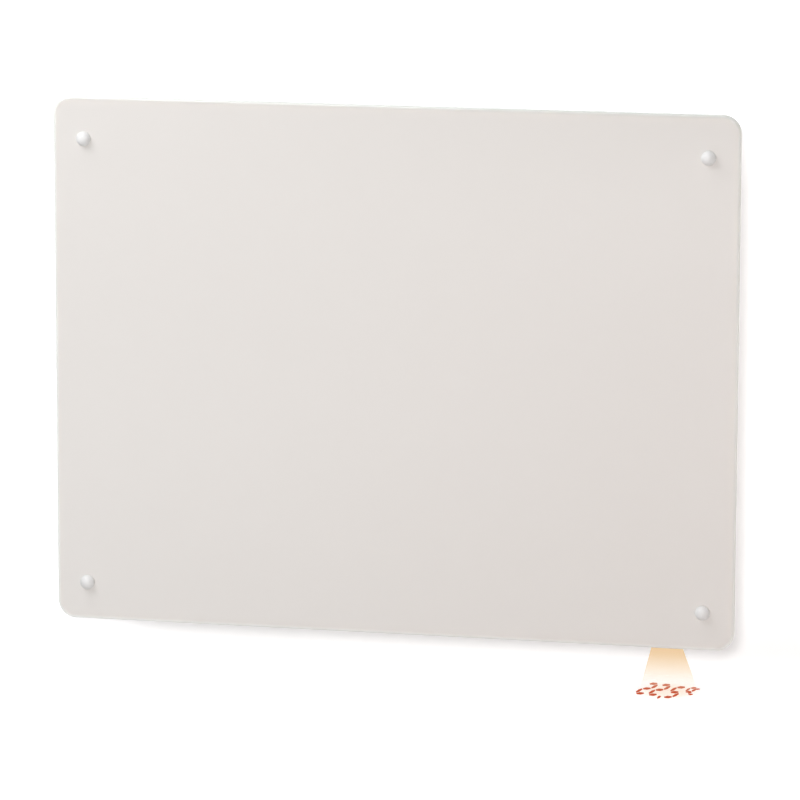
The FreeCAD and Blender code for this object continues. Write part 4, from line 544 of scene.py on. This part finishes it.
def reading_light():
    """Red light of the digits, a little grainy."""
    looks = Looks("reading_light")
    light = looks.add("ShaderNodeEmission")
    tint = looks.mix(looks.noise(400.0, 2.0), (0.52, 0.09, 0.04), (0.64, 0.12, 0.05))
    looks.feed(light.inputs["Color"], tint)
    return looks.surface(light)


def light_pool():
    """Soft orange light on the floor round the reading, fading outwards."""
    looks = Looks("pool_light")
    light = looks.add("ShaderNodeEmission")
    tint = looks.mix(looks.noise(200.0, 2.0), (1.0, 0.68, 0.46), (1.0, 0.74, 0.54))
    looks.feed(light.inputs["Color"], tint)
    half_x, half_y = POOL_HALF
    offset = looks.vector("SUBTRACT", looks.place, POOL_MIDDLE)
    reach = looks.vector("LENGTH", looks.vector("MULTIPLY", offset, (1 / half_x, 1 / half_y, 0.0)))
    cover = looks.ramp(reach, 0.25, 1.0, 0.55, 0.0)
    looks.surface(looks.blend(cover, looks.add("ShaderNodeBsdfTransparent"), light))
    x, y, _ = POOL_MIDDLE
    corners = [
        (x - half_x, y - half_y, POOL_Z),
        (x + half_x, y - half_y, POOL_Z),
        (x + half_x, y + half_y, POOL_Z),
        (x - half_x, y + half_y, POOL_Z),
    ]
    return rectangle("light_pool", corners, looks.material)


def light_beam():
    """Orange light between the projector window and the floor, fading downwards."""
    looks = Looks("beam_light")
    height = looks.split(looks.place)["Z"]
    light = looks.add("ShaderNodeEmission")
    tint = looks.mix(looks.ramp(height, BEAM_PALE_Z, BEAM_DEEP_Z), (1.0, 0.80, 0.56), (0.87, 0.61, 0.35))
    looks.feed(light.inputs["Color"], tint)
    cover = looks.ramp(height, BEAM_CLEAR_Z, BEAM_DENSE_Z, 0.0, 0.80)
    looks.surface(looks.blend(cover, looks.add("ShaderNodeBsdfTransparent"), light))
    bm = bmesh.new()
    rings = []
    for x, half_x, half_y, z in (BEAM_TOP, BEAM_FOOT):
        corners = [
            (x - half_x, -half_y),
            (x + half_x, -half_y),
            (x + half_x, half_y),
            (x - half_x, half_y),
        ]
        rings.append([bm.verts.new((corner_x, BEAM_Y + step, z)) for corner_x, step in corners])
    for at in range(4):
        bm.faces.new((rings[0][at - 1], rings[0][at], rings[1][at], rings[1][at - 1]))
    return new_mesh("light_beam", bm, looks.material)


wall_corners = [
    (-ROOM, WALL_Y, FLOOR_Z),
    (ROOM, WALL_Y, FLOOR_Z),
    (ROOM, WALL_Y, ROOM),
    (-ROOM, WALL_Y, ROOM),
]
floor_corners = [
    (-ROOM, -ROOM, FLOOR_Z),
    (ROOM, -ROOM, FLOOR_Z),
    (ROOM, WALL_Y, FLOOR_Z),
    (-ROOM, WALL_Y, FLOOR_Z),
]
wall = rectangle("wall", wall_corners, backdrop("wall_white", tone=0.85, glow=0.445, foot_painted_light=0.53))
floor = rectangle("floor", floor_corners, backdrop("floor_white", tone=0.60, glow=0.80, foot_painted_light=0.80))
digits = reading(reading_light())
pool = light_pool()
beam = light_beam()
for light_piece in (digits, pool, beam):
    light_piece.visible_diffuse = False
for stage_piece in (wall, floor, digits, pool, beam):
    stage_piece.visible_shadow = False


# Studio light and camera


def area_lamp(name, place, target, size, power, colour):
    """Round soft lamp at a place, turned towards its target."""
    lamp = bpy.data.lights.new(name, "AREA")
    lamp.shape = "DISK"
    lamp.size = size
    lamp.energy = power
    lamp.color = colour
    made = bpy.data.objects.new(name, lamp)
    made.location = place
    made.rotation_euler = (Vector(target) - Vector(place)).to_track_quat("-Z", "Y").to_euler()
    bpy.context.scene.collection.objects.link(made)
    return made


def studio_world(level):
    """White to the eye, in gloss and through glass; a plain soft light of some level on the object."""
    world = bpy.data.worlds.new("studio")
    world.use_nodes = True
    tree = world.node_tree
    tree.nodes.clear()
    path = tree.nodes.new("ShaderNodeLightPath")
    seen = path.outputs["Is Camera Ray"]
    for kind in ("Is Glossy Ray", "Is Transmission Ray"):
        either = tree.nodes.new("ShaderNodeMath")
        either.operation = "MAXIMUM"
        tree.links.new(seen, either.inputs[0])
        tree.links.new(path.outputs[kind], either.inputs[1])
        seen = either.outputs[0]
    strength = tree.nodes.new("ShaderNodeMapRange")
    strength.inputs["To Min"].default_value = level
    tree.links.new(seen, strength.inputs["Value"])
    background = tree.nodes.new("ShaderNodeBackground")
    background.inputs["Color"].default_value = (*WHITE, 1.0)
    tree.links.new(strength.outputs[0], background.inputs["Strength"])
    output = tree.nodes.new("ShaderNodeOutputWorld")
    tree.links.new(background.outputs[0], output.inputs["Surface"])
    bpy.context.scene.world = world


def photo_camera():
    """Camera at the photograph's angle, for a square picture."""
    back = Vector((
        math.sin(CAMERA_AZIMUTH) * math.cos(CAMERA_ELEVATION),
        -math.cos(CAMERA_AZIMUTH) * math.cos(CAMERA_ELEVATION),
        math.sin(CAMERA_ELEVATION),
    ))
    right = (-back).cross(Vector((0, 0, 1))).normalized()
    up = right.cross(-back)
    rolled_right = right * math.cos(CAMERA_ROLL) + up * math.sin(CAMERA_ROLL)
    rolled_up = up * math.cos(CAMERA_ROLL) - right * math.sin(CAMERA_ROLL)
    eye = PANEL_MIDDLE + back * CAMERA_DISTANCE + rolled_right * CAMERA_ASIDE - rolled_up * CAMERA_DOWN
    camera = bpy.data.cameras.new("camera")
    camera.lens = CAMERA_LENS
    camera.sensor_width = CAMERA_SENSOR
    camera.clip_end = CAMERA_FAR
    made = bpy.data.objects.new("camera", camera)
    axes = Matrix((rolled_right, rolled_up, back)).transposed()
    made.matrix_world = Matrix.Translation(eye) @ axes.to_4x4()
    bpy.context.scene.collection.objects.link(made)
    bpy.context.scene.camera = made


cool_white = (0.98, 0.985, 1.01)
warm_white = (1.0, 0.97, 0.93)
orange = (1.0, 0.22, 0.0)
studio_world(level=0.09)
area_lamp("front_soft", (0.51, -3.1, 0.68), PANEL_MIDDLE, size=0.42, power=38.3, colour=WHITE)
area_lamp("left_soft", (-0.72, -0.66, 1.08), PANEL_MIDDLE, size=1.2, power=15.0, colour=cool_white)
warm = area_lamp("warm_fill", (0.60, -0.55, -0.30), (0.2, -0.08, -0.15), size=0.5, power=0.40, colour=orange)
warm.visible_glossy = False
area_lamp("edge_soft", (1.25, -0.35, -0.45), (0.1, -0.08, -0.1), size=0.8, power=2.0, colour=warm_white)
area_lamp("rear_soft", (0.9, 2.0, -0.6), (0, 0, 0), size=1.8, power=24.0, colour=WHITE)
photo_camera()
bpy.context.scene.view_settings.view_transform = "Standard"
